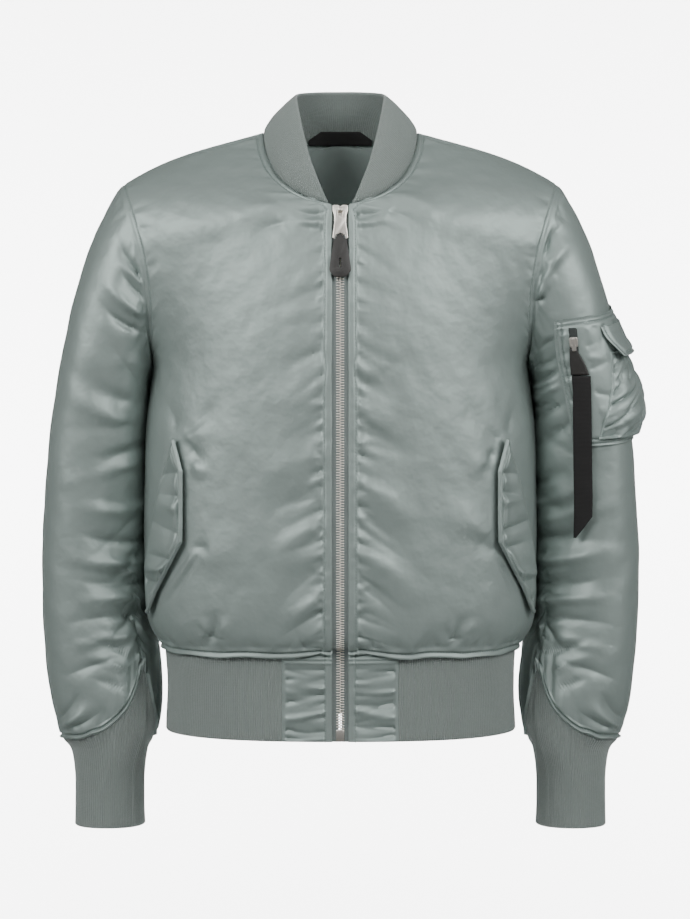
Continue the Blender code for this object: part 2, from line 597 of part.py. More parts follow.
def part_seam(edge, beside, normals, closed=False, distance=SEAM_GAP / 2):
    """Moves an edge of a grid back over its surface, square to the edge, towards the points beside it."""
    before = edge - np.roll(edge, 1, axis=0)
    after = np.roll(edge, -1, axis=0) - edge
    if not closed:
        before[0], after[-1] = after[0], before[-1]
    sides = [unit(np.cross(normals, unit(along))) for along in (before, after)]
    if (sides[0] * (beside - edge)).sum() < 0:
        sides = [-side for side in sides]
    agree = (sides[0] * sides[1]).sum(axis=-1, keepdims=True)
    edge += (sides[0] + sides[1]) / np.maximum(1 + agree, 0.15) * distance


def refined(values, parts):
    """Straight subdivision of a row of points or normals: each span in this many parts."""
    where = np.arange((len(values) - 1) * parts + 1) / parts
    return np.stack([np.interp(where, range(len(values)), values[:, k]) for k in range(3)], axis=-1)


def grooved(grid, normals, fade_first, fade_last):
    """Outer points of rib knit: every second column lies lower, less so at a faded edge row."""
    result = grid.copy()
    depth = np.full(len(grid), RIB_RELIEF)
    if fade_first:
        depth[0] = 0.0
    if fade_last:
        depth[-1] = 0.0
    result[:, 1::2] -= normals[:, 1::2] * depth[:, None, None]
    return result


# ---------------------------------------------------------------- shell
def make_torso(front, front_n, back, back_n):
    """Both fronts, the back and the lining that shows in the neck."""
    low = len(lower_rows())
    neck_start = len(front) - 1 - NECK_POINT
    back_neck = len(back) - (len(NECK) - NECK_POINT)
    for panel, normals, first in ((front, front_n, neck_start), (back, back_n, back_neck)):
        edges = panel.copy()
        part_seam(panel[0], edges[1], normals[0])
        part_seam(panel[-1], edges[-2], normals[-1])
        side_n = np.vstack([normals[:low - 1, -1], normals[low - 2:low - 1, -1]])
        part_seam(panel[:low, -1], edges[:low, -2], side_n)
        panel[low - 1:, -1] -= armhole_normal(0.0)[1] * SEAM_GAP / 2
        panel[low - 1, -1] -= armhole_normal(0.0)[1] * SEAM_GAP / 2
        panel[low - 1, -1, 1] += np.sign(panel[0, 0, 1]) * SEAM_GAP
        part_seam(panel[first:, 0], edges[first:, 1], normals[first:, 0])
    back[back_neck, 0, 0] = 0.0
    for name, flip in (("front_left", False), ("front_right", True)):
        grid, normals = (mirrored(front), mirrored(front_n)) if flip else (front, front_n)
        height = fold_height(grid, normals, name, FOLDS, -1) * away_from_seams(*grid.shape[:2], True)
        height += zip_gathers(*grid.shape[:2], grid) * away_from_seams(*grid.shape[:2], True)
        height[neck_start:, 0] = 0.0
        raised = grid + normals * height[..., None]
        wall(name, "satin", raised, raised - normals * SHELL_WALL)
    make_back(back, back_n, back_neck)


def make_back(back, back_n, back_neck):
    """The back in one piece, open at the neck, and the lining inside its upper part."""
    def both_halves(rows, depth, thickness, name, finish, folds):
        builder = bmesh.new()
        for flip in (False, True):
            grid = mirrored(back) if flip else back
            normals = mirrored(back_n) if flip else back_n
            mask = away_from_seams(*grid.shape[:2], True)
            mask[back_neck:, 0] = 0.0
            height = fold_height(grid, normals, "back", folds, 1) * mask
            raised = grid + normals * (height[..., None] - depth)
            outer, inner = raised[rows], (raised - normals * thickness)[rows]
            half_wall(builder, outer, inner, len(outer) - (len(back) - back_neck))
        bmesh.ops.remove_doubles(builder, verts=builder.verts, dist=0.00002)
        new_object(name, builder, finish)

    both_halves(slice(None), 0.0, SHELL_WALL, "back", "satin", FOLDS)
    lining_rows = slice(len(lower_rows()) + 1, None)
    both_halves(lining_rows, SHELL_WALL + SEAM_GAP, LINING_WALL, "lining_back", "lining", FOLDS)


def half_wall(builder, outer, inner, open_from):
    """Half of a wall that its mirror image completes: no side faces on the middle line below open_from."""
    out = [[builder.verts.new(p) for p in row] for row in outer]
    ins = [[builder.verts.new(p) for p in row] for row in inner]
    rows, columns = len(out), len(out[0])
    for row in range(rows - 1):
        for column in range(columns - 1):
            for grid in (out, ins):
                builder.faces.new([grid[row][column], grid[row][column + 1],
                                   grid[row + 1][column + 1], grid[row + 1][column]])
        builder.faces.new([out[row][-1], out[row + 1][-1], ins[row + 1][-1], ins[row][-1]])
        if row >= open_from:
            builder.faces.new([out[row][0], out[row + 1][0], ins[row + 1][0], ins[row][0]])
    for row in (0, rows - 1):
        for column in range(columns - 1):
            builder.faces.new([out[row][column], out[row][column + 1], ins[row][column + 1], ins[row][column]])


def wrist_edge(column_deg):
    """Angle round the arm and height of the sleeve's wrist edge for a column of the sleeve."""
    table = columns_of(WRIST, "column_deg", "edge_deg", "z")
    return (np.interp(column_deg, table[:, 0], table[:, 1]), np.interp(column_deg, table[:, 0], table[:, 2]))


def wrist_points():
    """Points of the wrist edge on the arm, one for each column of the sleeve."""
    points = []
    for column in range(ARM_COLUMNS):
        angle, z = wrist_edge(360.0 * column / ARM_COLUMNS)
        points.append(arm_point(angle, ring_at_height(angle, z)))
    return np.array(points)


def sleeve_grid():
    """Outer points of the wearer's left sleeve, rows from the armhole to the wrist edge."""
    grid = np.empty((SLEEVE_ROWS + 1, ARM_COLUMNS, 3))
    for column in range(ARM_COLUMNS):
        start = 360.0 * column / ARM_COLUMNS
        angle, z = wrist_edge(start)
        last = ring_at_height(angle, z)
        for row in range(SLEEVE_ROWS + 1):
            share = row / SLEEVE_ROWS
            eased = share + 0.10 * math.sin(math.pi * share) ** 2
            grid[row, column] = arm_point(start + (angle - start) * share**3, last * eased)
    return grid


def make_sleeves():
    """Both sleeves: tubes from the armhole to the wrist edge, gathered towards the cuff."""
    grid = sleeve_grid()
    normals = grid_normals(grid, closed=True)
    normals = -normals if normals[10, 0, 0] < 0 else normals
    for column in range(ARM_COLUMNS):
        normals[0, column] = armhole_normal(360.0 * column / ARM_COLUMNS)[0]
    grid[0] += armhole_normal(0.0)[1] * SEAM_GAP / 2
    part_seam(grid[-1], grid[-2], normals[-1], closed=True, distance=0.75 * SEAM_GAP)
    gathers = np.zeros(grid.shape[:2])
    for index, height in enumerate(CUFF_GATHERS):
        for above, share in enumerate(CUFF_GATHER_FADE):
            gathers[-2 - above, index * ARM_COLUMNS // len(CUFF_GATHERS)] = height * share
    for name, flip in (("sleeve_left", False), ("sleeve_right", True)):
        points, outward = (mirrored(grid), mirrored(normals)) if flip else (grid, normals)
        height = fold_height(points, outward, name, FOLDS, -1)
        height += fold_height(points, outward, name, BACK_FOLDS, 1)
        height[[0, -1]] = 0.0
        raised = points + outward * (height + gathers)[..., None]
        wall(name, "satin", raised, raised - outward * SHELL_WALL, closed=True)


def make_cuffs():
    """Rib cuffs: tubes whose upper edge follows the sleeve's, with the gusset's point."""
    edge = wrist_points()
    edge_n = grid_normals(sleeve_grid(), closed=True)[-1]
    middle = edge.mean(axis=0)
    if (edge_n[0] @ (edge[0] - middle)) < 0:
        edge_n = -edge_n
    parts = CUFF_RIBS * 2
    closed_edge, closed_n = np.vstack([edge, edge[:1]]), np.vstack([edge_n, edge_n[:1]])
    top, top_n = refined(closed_edge, parts)[:-1], refined(closed_n, parts)[:-1]
    count = ARM_COLUMNS * parts
    grid = np.empty((4, count, 3))
    grid[0] = top
    last = len(ARM) - 1
    for column in range(count):
        start = 360.0 * column / count
        angle, _ = wrist_edge(start)
        begin = ring_at_height(angle, top[column, 2])
        for row, share in ((1, 0.30), (2, 0.72), (3, 1.0)):
            grid[row, column] = arm_point(angle + (start - angle) * share, begin + (last - begin) * share)
    normals = grid_normals(grid, closed=True)
    normals = -normals if normals[2, 0, 0] < 0 else normals
    normals[0] = top_n
    part_seam(grid[0], grid[1], unit(top_n), closed=True, distance=SEAM_GAP)
    outer = grooved(grid, normals, True, False)
    inner = grid - normals * RIB_WALL
    for name, flip in (("cuff_left", False), ("cuff_right", True)):
        wall(name, "rib", mirrored(outer) if flip else outer, mirrored(inner) if flip else inner,
             closed=True, stride=parts)


# ---------------------------------------------------------------- waistband
def hem_ring():
    """Waistband points at the shell's columns, from the zip round the wearer's left to the middle of the back."""
    grid = []
    for row in HEM:
        front = [front_surface(share, row.z, HEM) for share in front_shares()]
        back = [back_surface(share, row.z, HEM) for share in back_shares()]
        grid.append(front + back[-2::-1])
    grid = np.array(grid)
    for column, share in enumerate(front_shares()):
        grid[0, column, 2] += seam_lift(share, True)
    for column, share in enumerate(back_shares()[-2::-1]):
        grid[0, PANEL_COLUMNS + SIDE_COLUMNS + 1 + column, 2] += seam_lift(share, False)
    return grid


def make_waistband():
    """The rib waistband round sides and back, and the two satin panels beside the zip."""
    half = hem_ring()
    whole = np.concatenate([half, mirrored(half)[:, -2::-1]], axis=1)
    normals = grid_normals(whole[::-1])[::-1]
    normals[..., 2] = 0.0
    normals = unit(normals)
    if normals[0, 0, 1] > 0:
        normals = -normals
    rib = slice(PANEL_COLUMNS, whole.shape[1] - PANEL_COLUMNS)
    parts = HEM_RIBS * 2
    fine = np.array([refined(row, parts) for row in whole[:, rib]])
    fine_n = np.array([refined(row, parts) for row in normals[:, rib]])
    part_seam(fine[0], fine[1], fine_n[0])
    part_seam(fine[:, 0], fine[:, 1], fine_n[:, 0])
    part_seam(fine[:, -1], fine[:, -2], fine_n[:, -1])
    wall("hem_rib", "rib", grooved(fine, fine_n, False, False), fine - fine_n * RIB_WALL, stride=parts)
    panel, panel_n = half[:, :PANEL_COLUMNS + 1].copy(), normals[:, :PANEL_COLUMNS + 1]
    part_seam(panel[0], panel[1], panel_n[0])
    part_seam(panel[:, -1], panel[:, -2], panel_n[:, -1])
    for name, flip in (("hem_panel_left", False), ("hem_panel_right", True)):
        outer, inner = panel, panel - panel_n * SHELL_WALL
        wall(name, "satin", mirrored(outer) if flip else outer, mirrored(inner) if flip else inner)


# ---------------------------------------------------------------- collar
COLLAR_SHARES = (0.0, 0.34, 0.72, 1.0)


def collar_half():
    """Collar points on the wearer's left at the neckline's rows: rows from the seam to the top edge."""
    seam = columns_of(NECK, "seam_x", "seam_y", "seam_z")
    top = columns_of(NECK, "top_x", "top_y", "top_z")
    outward = unit(np.column_stack([seam[:, 0], seam[:, 1], np.full(len(seam), 0.02)]))
    outward[-1] = unit(np.array([0.0, 1.0, 0.2]))
    height = np.linalg.norm(top - seam, axis=1)
    bulge = COLLAR_BULGE * np.clip(height / 0.05, 0.0, 1.0)
    rows = []
    for share in COLLAR_SHARES:
        arch = 4 * share * (1 - share)
        rows.append(seam + (top - seam) * share + outward * (bulge * arch)[:, None])
    return np.array(rows)


def collar_normals():
    """Normals of the collar at its seam, at the neckline's rows."""
    half = collar_half()
    normals = grid_normals(half)
    return normals[0] if normals[0, NECK_POINT, 0] > 0 else -normals[0]


def make_collar(front_n, back_n):
    """The rib collar, from one side of the zip round the neck to the other."""
    half = collar_half()
    whole = np.concatenate([half, mirrored(half)[:, -2::-1]], axis=1)
    normals = grid_normals(whole)
    if normals[1, NECK_POINT, 0] < 0:
        normals = -normals
    count = whole.shape[1]
    for index in range(len(NECK)):
        if index <= NECK_POINT:
            seam_n = front_n[len(front_n) - 1 - NECK_POINT + index, 0]
        else:
            seam_n = back_n[len(back_n) - 1 - (index - NECK_POINT), 0]
        normals[0, index] = seam_n
        normals[0, count - 1 - index] = mirrored(seam_n)
    parts = COLLAR_RIBS * 2
    fine = np.array([refined(row, parts) for row in whole])
    fine_n = np.array([refined(row, parts) for row in normals])
    part_seam(fine[0], fine[1], unit(fine_n[0]), distance=1.6 * SEAM_GAP)
    wall("collar", "rib", grooved(fine, fine_n, True, False), fine - fine_n * RIB_WALL, stride=parts)


def make_hanger_loop():
    """Black tape hanger across the back neck, inside the collar, in front of the lining."""
    clear = SHELL_WALL + 2 * SEAM_GAP + LINING_WALL + HANGER_CLEAR
    seam = columns_of(NECK, "seam_x", "seam_y")[NECK_POINT:][::-1]
    grid = []
    for level in (0.0, 0.5, 1.0):
        row = []
        for x in np.linspace(-HANGER_HALF_FOOT, HANGER_HALF_FOOT, 13):
            slope = np.clip((HANGER_HALF_FOOT - abs(x)) / (HANGER_HALF_FOOT - HANGER_HALF_TOP), 0.0, 1.0)
            y = np.interp(abs(x), seam[:, 0], seam[:, 1]) - clear - HANGER_WALL * level
            rise = HANGER_END_RISE + (HANGER_RISE - HANGER_END_RISE) * slope
            row.append((x, y, HANGER_FOOT_Z + level * rise))
        grid.append(row)
    grid = np.array(grid)
    wall("hanger_loop", "black", grid, grid + np.array([0.0, HANGER_WALL, 0.0]))


# ---------------------------------------------------------------- pieces that lie on a panel
def surface_normal(surface, place, outward):
    """Unit normal of a surface at a place (round, height), on the side of the outward hint."""
    step = 1e-3
    slopes = [surface(*(place + np.eye(2)[k] * step)) - surface(*(place - np.eye(2)[k] * step))
              for k in (0, 1)]
    normal = unit(np.cross(*slopes))
    return normal if normal @ outward > 0 else -normal


def lay_on(surface, starts, ends, columns, hint):
    """Points and normals of a patch between two edges given in a surface's own numbers."""
    points, normals = [], []
    for start, end in zip(starts, ends):
        places = [start + (end - start) * k / columns for k in range(columns + 1)]
        points.append([surface(*place) for place in places])
        normals.append([surface_normal(surface, place, hint(surface(*place))) for place in places])
    return np.array(points), np.array(normals)


def from_torso_axis(point):
    return np.array([point[0], point[1] * 1.5, 0.0])


def from_arm_axis(point):
    return np.array([point[0] - ARM_AXIS[0], point[1] - ARM_AXIS[1], 0.0])


def make_pocket_flaps():
    """Slanted storm flaps, sewn along the outer edge and standing off a little at the inner one."""
    starts, ends = ([np.array([around_at(front_surface, x, row.z, 0.3, 0.84), row.z])
                     for row, x in zip(FLAP, xs)] for xs in columns_of(FLAP, "inner_x", "outer_x").T)
    points, normals = lay_on(front_surface, starts, ends, len(FLAP_LIFT) - 1, from_torso_axis)
    stand = np.add.outer([row.ripple for row in FLAP], FLAP_LIFT)
    foot = points + normals * stand[..., None]
    for name, flip in (("pocket_flap_left", False), ("pocket_flap_right", True)):
        outer = foot + normals * FLAP_WALL
        wall(name, "satin", mirrored(outer) if flip else outer, mirrored(foot) if flip else foot)


def arm_patch(table, columns):
    """Patch on the left arm from a front edge given by x to a rear edge given by the angle."""
    starts = [np.array([around_at(arm_surface, row.front_x, row.front_z, 0.0, 180.0), row.front_z])
              for row in table]
    ends = [np.array([row.rear_deg, row.rear_z]) for row in table]
    return lay_on(arm_surface, starts, ends, columns, from_arm_axis)


def arm_strip(table, columns):
    """Patch on the front of the left arm between two edges given by x."""
    starts, ends = ([np.array([around_at(arm_surface, x, row.z, 0.0, 180.0), row.z])
                     for row, x in zip(table, xs)] for xs in columns_of(table, "left_x", "right_x").T)
    return lay_on(arm_surface, starts, ends, columns, from_arm_axis)


def make_layer(name, finish, patch, foot, thickness, bulge=None):
    """Wall laid on a patch: its underside stands foot above it, or higher by bulge."""
    points, normals = patch
    stand = foot if bulge is None else foot + bulge[..., None]
    base = points + normals * stand
    wall(name, finish, base + normals * thickness, base)


def make_sleeve_pocket():
    """Utility pocket on the wearer's left arm, with its zip, leather pull, ribbon, pen pocket and flap."""
    base_top = SLEEVE_CLEAR + PATCH_WALL + SEAM_GAP
    over_zip = base_top + SLEEVE_ZIP_WALL + 2 * SEAM_GAP
    make_layer("sleeve_pocket_base", "satin", arm_patch(POCKET, 12), SLEEVE_CLEAR, PATCH_WALL)
    across = np.sin(np.linspace(0.0, math.pi, 7)) ** 0.7
    make_layer("pen_pocket", "satin", arm_patch(PEN_POCKET, 6), base_top + SEAM_GAP, PATCH_WALL,
               np.outer(PEN_BULGE, across))
    make_layer("pen_flap", "satin", arm_patch(PEN_FLAP, 4), base_top, PATCH_WALL,
               np.outer(PEN_FLAP_LIFT, np.ones(5)))
    make_layer("sleeve_zip", "metal", arm_strip(SLEEVE_ZIP, 2), base_top, SLEEVE_ZIP_WALL)
    make_layer("sleeve_pull_leather", "black", arm_strip(SLEEVE_LEATHER, 3), over_zip, SLEEVE_LEATHER_WALL)
    make_layer("sleeve_ribbon", "black", arm_strip(RIBBON, 2), over_zip, RIBBON_WALL)
    make_layer("sleeve_zip_slider", "metal", arm_strip(SLEEVE_SLIDER, 1), over_zip, SLEEVE_SLIDER_WALL)


# ---------------------------------------------------------------- main zip
def zip_line():
    """Heights and depths of the zip's line, from the waistband's bottom to the top, with forward normals."""
    low = [(z, torso_row(TORSO, z)[0]) for z in lower_rows()]
    line = [(row.z, row.front_y) for row in HEM[:0:-1]] + low + CENTRE_FRONT[1:]
    points = np.array([[0.0, y, z] for z, y in line])
    along = unit(np.gradient(points, axis=0))
    return points, unit(np.cross(along, np.array([1.0, 0.0, 0.0])) * np.array([0.0, 1.0, 1.0]))


def forward(normals):
    return normals if normals[0, 1] < 0 else -normals


def make_zip():
    """Tapes, chain and bottom stop along the front edge."""
    points, normals = zip_line()
    normals = forward(normals)
    face = points - normals * TAPE_DEPTH
    for name, side in (("zip_tape_left", 1.0), ("zip_tape_right", -1.0)):
        xs = np.array([CHAIN_HALF_WIDTH + SEAM_GAP, TAPE_EDGE_X]) * side
        grid = np.array([[point + np.array([x, 0.0, 0.0]) for x in xs] for point in face])
        wall(name, "tape", grid, grid - normals[:, None] * TAPE_WALL)
    proud = (CHAIN_WALL - TAPE_WALL) / 2
    top_row = len(face) - 2
    chain = face[:top_row + 1] + normals[:top_row + 1] * proud
    chain_n = normals[:top_row + 1]
    xs = np.array([-CHAIN_HALF_WIDTH, CHAIN_HALF_WIDTH])
    grid = np.array([[point + np.array([x, 0.0, 0.0]) for x in xs] for point in chain])
    stop_z = HEM_BOTTOM_Z + STOP_HEIGHT + SEAM_GAP
    share = (stop_z - grid[0, 0, 2]) / (grid[1, 0, 2] - grid[0, 0, 2])
    grid[0] += (grid[1] - grid[0]) * share
    wall("zip_chain", "metal", grid, grid - chain_n[:, None] * CHAIN_WALL)
    box = make_box("zip_bottom_stop", "metal", (2 * CHAIN_HALF_WIDTH - 0.0006, CHAIN_WALL + 0.001, STOP_HEIGHT))
    box.location = (0.0, face[0, 1] + TAPE_WALL / 2, HEM_BOTTOM_Z + STOP_HEIGHT / 2)


def make_box(name, finish, size):
    """Box with rounded edges, centred on its origin."""
    builder = bmesh.new()
    bmesh.ops.create_cube(builder, size=1.0)
    bmesh.ops.scale(builder, vec=size, verts=builder.verts)
    box = new_object(name, builder, finish)
    bevel = box.modifiers.new("rounded edges", "BEVEL")
    bevel.width = min(size) * 0.25
    bevel.segments = 2
    return box


def flat_outline(name, outlines, thickness):
    """Mesh of flat outlines (the first is the edge, the rest are holes) in the XZ plane, thickness along Y."""
    curve = bpy.data.curves.new(name, "CURVE")
    curve.dimensions = "2D"
    curve.fill_mode = "BOTH"
    curve.extrude = thickness / 2
    for outline in outlines:
        line = curve.splines.new("POLY")
        line.points.add(len(outline) - 1)
        for point, (x, z) in zip(line.points, outline):
            point.co = (x, z, 0.0, 1.0)
        line.use_cyclic_u = True
    holder = bpy.data.objects.new(name, curve)
    bpy.context.scene.collection.objects.link(holder)
    graph = bpy.context.evaluated_depsgraph_get()
    mesh = bpy.data.meshes.new_from_object(holder.evaluated_get(graph))
    bpy.data.objects.remove(holder)
    builder = bmesh.new()
    builder.from_mesh(mesh)
    bmesh.ops.remove_doubles(builder, verts=builder.verts, dist=0.00001)
    for vert in builder.verts:
        x, z, y = vert.co
        vert.co = (x, y, z)
    bmesh.ops.reverse_faces(builder, faces=builder.faces)
    return builder


def both_sides(edges):
    """Closed outline (x, z) of a table of half widths and drops."""
    half = [(edge.half_x, -edge.drop) for edge in edges]
    return half + [(-x, z) for x, z in reversed(half) if x > 0]


def arch_mesh():
    """Arch that stands on the slider round the pull's bar, its feet sunk in the slider."""
    steps = 8
    outer, inner = ([(radius * math.cos(math.pi * k / steps), radius * math.sin(math.pi * k / steps))
                     for k in range(steps + 1)] for radius in (ARCH_INNER + ARCH_BAR, ARCH_INNER))
    profile = [(outer[0][0], -ARCH_FOOT)] + outer + [(outer[-1][0], -ARCH_FOOT)]
    profile += [(inner[-1][0], -ARCH_FOOT)] + inner[::-1] + [(inner[0][0], -ARCH_FOOT)]
    builder = bmesh.new()
    for x in (-ARCH_WIDTH / 2, ARCH_WIDTH / 2):
        builder.faces.new([builder.verts.new((x, -out, up)) for up, out in profile])
    bmesh.ops.bridge_loops(builder, edges=builder.edges[:])
    return builder


def pivot_frame():
    """Middle of the slider's top edge, pivot of the pull before its face, and the lean of both."""
    points, normals = zip_line()
    normal = forward(normals)[-1]
    along = (points[-1] - points[-3]) / np.linalg.norm(points[-1] - points[-3])
    back_face = points[-1] - normal * (TAPE_DEPTH - SEAM_GAP)
    middle = back_face + normal * SLIDER_WALL / 2
    pivot = back_face + normal * (SLIDER_WALL + ARCH_INNER) - along * PULL_PIVOT_DROP
    lean = math.atan2(along[1], along[2])
    return middle, pivot, lean


def make_slider(middle, pivot, lean):
    """Slider of the main zip in front of the tapes, with the arch that its pull hangs on."""
    body = flat_outline("slider body", [both_sides(SLIDER_EDGE)], SLIDER_WALL)
    slider = new_object("zip_slider", body, "metal")
    slider.location = middle
    slider.rotation_euler = (-lean, 0.0, 0.0)
    holder = new_object("arch", arch_mesh(), "metal")
    bpy.data.collections["bomber_jacket"].objects.unlink(holder)
    bpy.data.collections["cutters"].objects.link(holder)
    holder.hide_render = True
    holder.display_type = "WIRE"
    holder.location = pivot
    holder.rotation_euler = (-lean, 0.0, 0.0)
    join = slider.modifiers.new("arch", "BOOLEAN")
    join.operation = "UNION"
    join.object = holder


def make_pull(pivot, lean):
    """Metal pull and its leather tab, which turn about the pull's bar under the arch."""
    eye = [(-PULL_EYE_HALF, -PULL_BAR), (-PULL_EYE_HALF, -PULL_EYE_DROP),
           (PULL_EYE_HALF, -PULL_EYE_DROP), (PULL_EYE_HALF, -PULL_BAR)]
    slot = [(-SLOT_HALF, -SLOT_TOP_DROP), (-SLOT_HALF, -SLOT_FOOT_DROP),
            (SLOT_HALF, -SLOT_FOOT_DROP), (SLOT_HALF, -SLOT_TOP_DROP)]
    empty = bpy.data.objects.new("pull pivot", None)
    bpy.data.collections["bomber_jacket"].objects.link(empty)
    empty.location = pivot
    empty.rotation_euler = (-lean, 0.0, 0.0)
    pull = new_object("zip_pull", flat_outline("pull", [both_sides(PULL_EDGE), eye], PULL_WALL), "metal")
    pull.parent = empty
    leather = flat_outline("tab", [both_sides(LEATHER_EDGE), slot], LEATHER_WALL)
    tab = new_object("zip_pull_leather", leather, "black")
    tab.parent = empty


# ---------------------------------------------------------------- the jacket
def clear_scene():
    """Removes the scene's objects and makes the two collections."""
    for obj in list(bpy.data.objects):
        bpy.data.objects.remove(obj, do_unlink=True)
    for name in ("bomber_jacket", "cutters"):
        collection = bpy.data.collections.new(name)
        bpy.context.scene.collection.children.link(collection)
    bpy.data.collections["cutters"].hide_render = True


def main():
    clear_scene()
    front, front_n, back, back_n = torso_normals()
    make_torso(front, front_n, back, back_n)
    make_sleeves()
    make_cuffs()
    make_waistband()
    make_collar(front_n, back_n)
    make_hanger_loop()
    make_pocket_flaps()
    make_sleeve_pocket()
    make_zip()
    middle, pivot, lean = pivot_frame()
    make_slider(middle, pivot, lean)
    make_pull(pivot, lean)


main()
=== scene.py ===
"""Bomber jacket of padded satin nylon with rib-knit collar, cuffs and waistband, dressed for the studio.

Metres, +Z up, front towards -Y, the wearer's left arm at +X. The cut is worked out from the same tables
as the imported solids. Each cloth piece is a fine closed wall on that cut, with its folds, gathers and seams.
"""

import json
import logging
import math
from abc import ABC, abstractmethod
from dataclasses import dataclass, field
from enum import Enum
from typing import Any, Callable, NamedTuple, Optional, Sequence

import bmesh
import bpy
import numpy as np
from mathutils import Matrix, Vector

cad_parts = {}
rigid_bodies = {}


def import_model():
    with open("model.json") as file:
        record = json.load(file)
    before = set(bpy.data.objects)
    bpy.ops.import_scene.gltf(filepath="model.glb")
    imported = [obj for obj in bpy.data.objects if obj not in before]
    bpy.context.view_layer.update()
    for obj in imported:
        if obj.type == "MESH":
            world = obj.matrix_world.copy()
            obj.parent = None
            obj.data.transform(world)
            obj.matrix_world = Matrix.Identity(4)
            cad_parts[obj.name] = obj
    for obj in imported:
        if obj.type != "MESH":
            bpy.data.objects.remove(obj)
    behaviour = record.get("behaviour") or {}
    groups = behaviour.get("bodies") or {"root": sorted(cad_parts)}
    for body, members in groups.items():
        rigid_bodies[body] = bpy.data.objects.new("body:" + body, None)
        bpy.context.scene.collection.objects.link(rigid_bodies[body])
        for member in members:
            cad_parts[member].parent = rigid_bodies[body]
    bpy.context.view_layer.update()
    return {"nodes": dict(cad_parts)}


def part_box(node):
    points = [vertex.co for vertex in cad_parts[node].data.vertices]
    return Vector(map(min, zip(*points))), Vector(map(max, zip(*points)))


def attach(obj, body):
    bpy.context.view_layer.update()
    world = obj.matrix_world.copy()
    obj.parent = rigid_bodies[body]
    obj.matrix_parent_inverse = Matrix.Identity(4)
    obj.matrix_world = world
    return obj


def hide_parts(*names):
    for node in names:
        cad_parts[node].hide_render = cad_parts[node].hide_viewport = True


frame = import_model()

Array = np.ndarray
Object, Mesh, Builder = bpy.types.Object, bpy.types.Mesh, bmesh.types.BMesh
Tree, Node, Socket = bpy.types.NodeTree, bpy.types.Node, bpy.types.NodeSocket
Surface, Outward = Callable[[Array, Array], Array], Callable[[Array], Array]
Place = tuple[float, float, float]
LOG = logging.getLogger("jacket")
JACKET, PULL = "jacket", "zip_pull"    # the two bodies that pieces ride on

# ---------------------------------------------------------------- driving sizes of the cut
HEM_SEAM_Z, HEM_BOTTOM_Z = -0.552, -0.644
UNDERARM_Z = -0.255
ZIP_TOP_Z = -0.0795
FRONT_EDGE_X = 0.0085          # each front stops here beside the zip
PANEL_EDGE_X = 0.0625          # the satin waistband panel meets the rib here
BACK_TURN, SHOULDER_TURN = 80.0, 35.0
SHOULDER_RISE = 0.0055
FULL_DEPTH, FULL_WIDTH = 0.18, 0.08
PANEL_TRIM = 0.93
ARM_ROWS = 12
ARM_COLUMNS = 24
PANEL_COLUMNS, SIDE_COLUMNS, BACK_COLUMNS = 3, 9, 9
SLEEVE_ROWS = 22
HEM_WAVE = 0.0025
SHELL_WALL, RIB_WALL, TRIM_WALL, LINING_WALL = 0.0030, 0.0028, 0.0018, 0.0010
SEAM_STITCH, WELT_STITCH, NECK_STITCH = 0.0055, 0.0050, 0.0058    # from a seam to its topstitching
SEAM_GRIP = 0.006              # width beside a seam that its stitching holds flat
SHELL_ROUND = ["front_left_shell", "back_shell", "front_right_shell"]
NOISE_WRAP = 64                # grains before a noise repeats
MERGE = 1e-6                   # points nearer than this are one
RIB_PITCH = 0.0025             # one wale of the 2x2 rib
RIB_STEPS = 4                  # grid columns to one wale
TAPE_DEPTH = 0.0040
TAPE_EDGE_X = 0.0180
COLLAR_BULGE = 0.0035
COLLAR_SHARES = (0.0, 0.34, 0.72, 1.0)
ARM_AXIS = (0.262, 0.020)


class Torso(NamedTuple):
    """A level of the torso or the waistband: its depths, its side seam and the front's turn to it."""

    z: float
    front_y: float
    back_y: float
    side_x: float
    side_y: float
    turn: float


TORSO = [
    Torso(HEM_SEAM_Z, -0.1175, 0.1045, 0.1835, 0.016, 105.0),   # waistband seam
    Torso(-0.543, -0.1255, 0.1130, 0.1935, 0.019, 105.0),       # blouse
    Torso(-0.522, -0.1300, 0.1190, 0.2025, 0.024, 105.0),       # overhang
    Torso(-0.470, -0.1320, 0.1205, 0.2080, 0.028, 102.0),       # pocket foot
    Torso(-0.380, -0.1285, 0.1160, 0.2085, 0.030, 101.0),       # waist
    Torso(-0.310, -0.1255, 0.1135, 0.2080, 0.030, 99.0),        # ribs
    Torso(UNDERARM_Z, -0.1225, 0.1130, 0.2050, 0.028, 91.0),    # underarm
]
HEM = [
    Torso(HEM_SEAM_Z, -0.1175, 0.1045, 0.1835, 0.016, 105.0),
    Torso(-0.598, -0.1160, 0.1025, 0.1815, 0.015, 105.0),
    Torso(HEM_BOTTOM_Z, -0.1170, 0.1040, 0.1830, 0.015, 105.0),
]
CENTRE_FRONT = [  # z and y of the zip line above the underarm
    (UNDERARM_Z, -0.1225), (-0.215, -0.1195), (-0.180, -0.1160), (-0.150, -0.1115),
    (-0.125, -0.1062), (-0.102, -0.1003), (ZIP_TOP_Z, -0.0945),
]
CENTRE_BACK = [   # z and y of the back's middle line above the underarm
    (UNDERARM_Z, 0.1130), (-0.220, 0.1120), (-0.185, 0.1100), (-0.150, 0.1060),
    (-0.115, 0.0990), (-0.080, 0.0890), (-0.045, 0.0755), (-0.012, 0.0620),
]


class Neck(NamedTuple):
    """A place on the neckline: the collar's seam and its top edge."""

    seam_x: float
    seam_y: float
    seam_z: float
    top_x: float
    top_y: float
    top_z: float


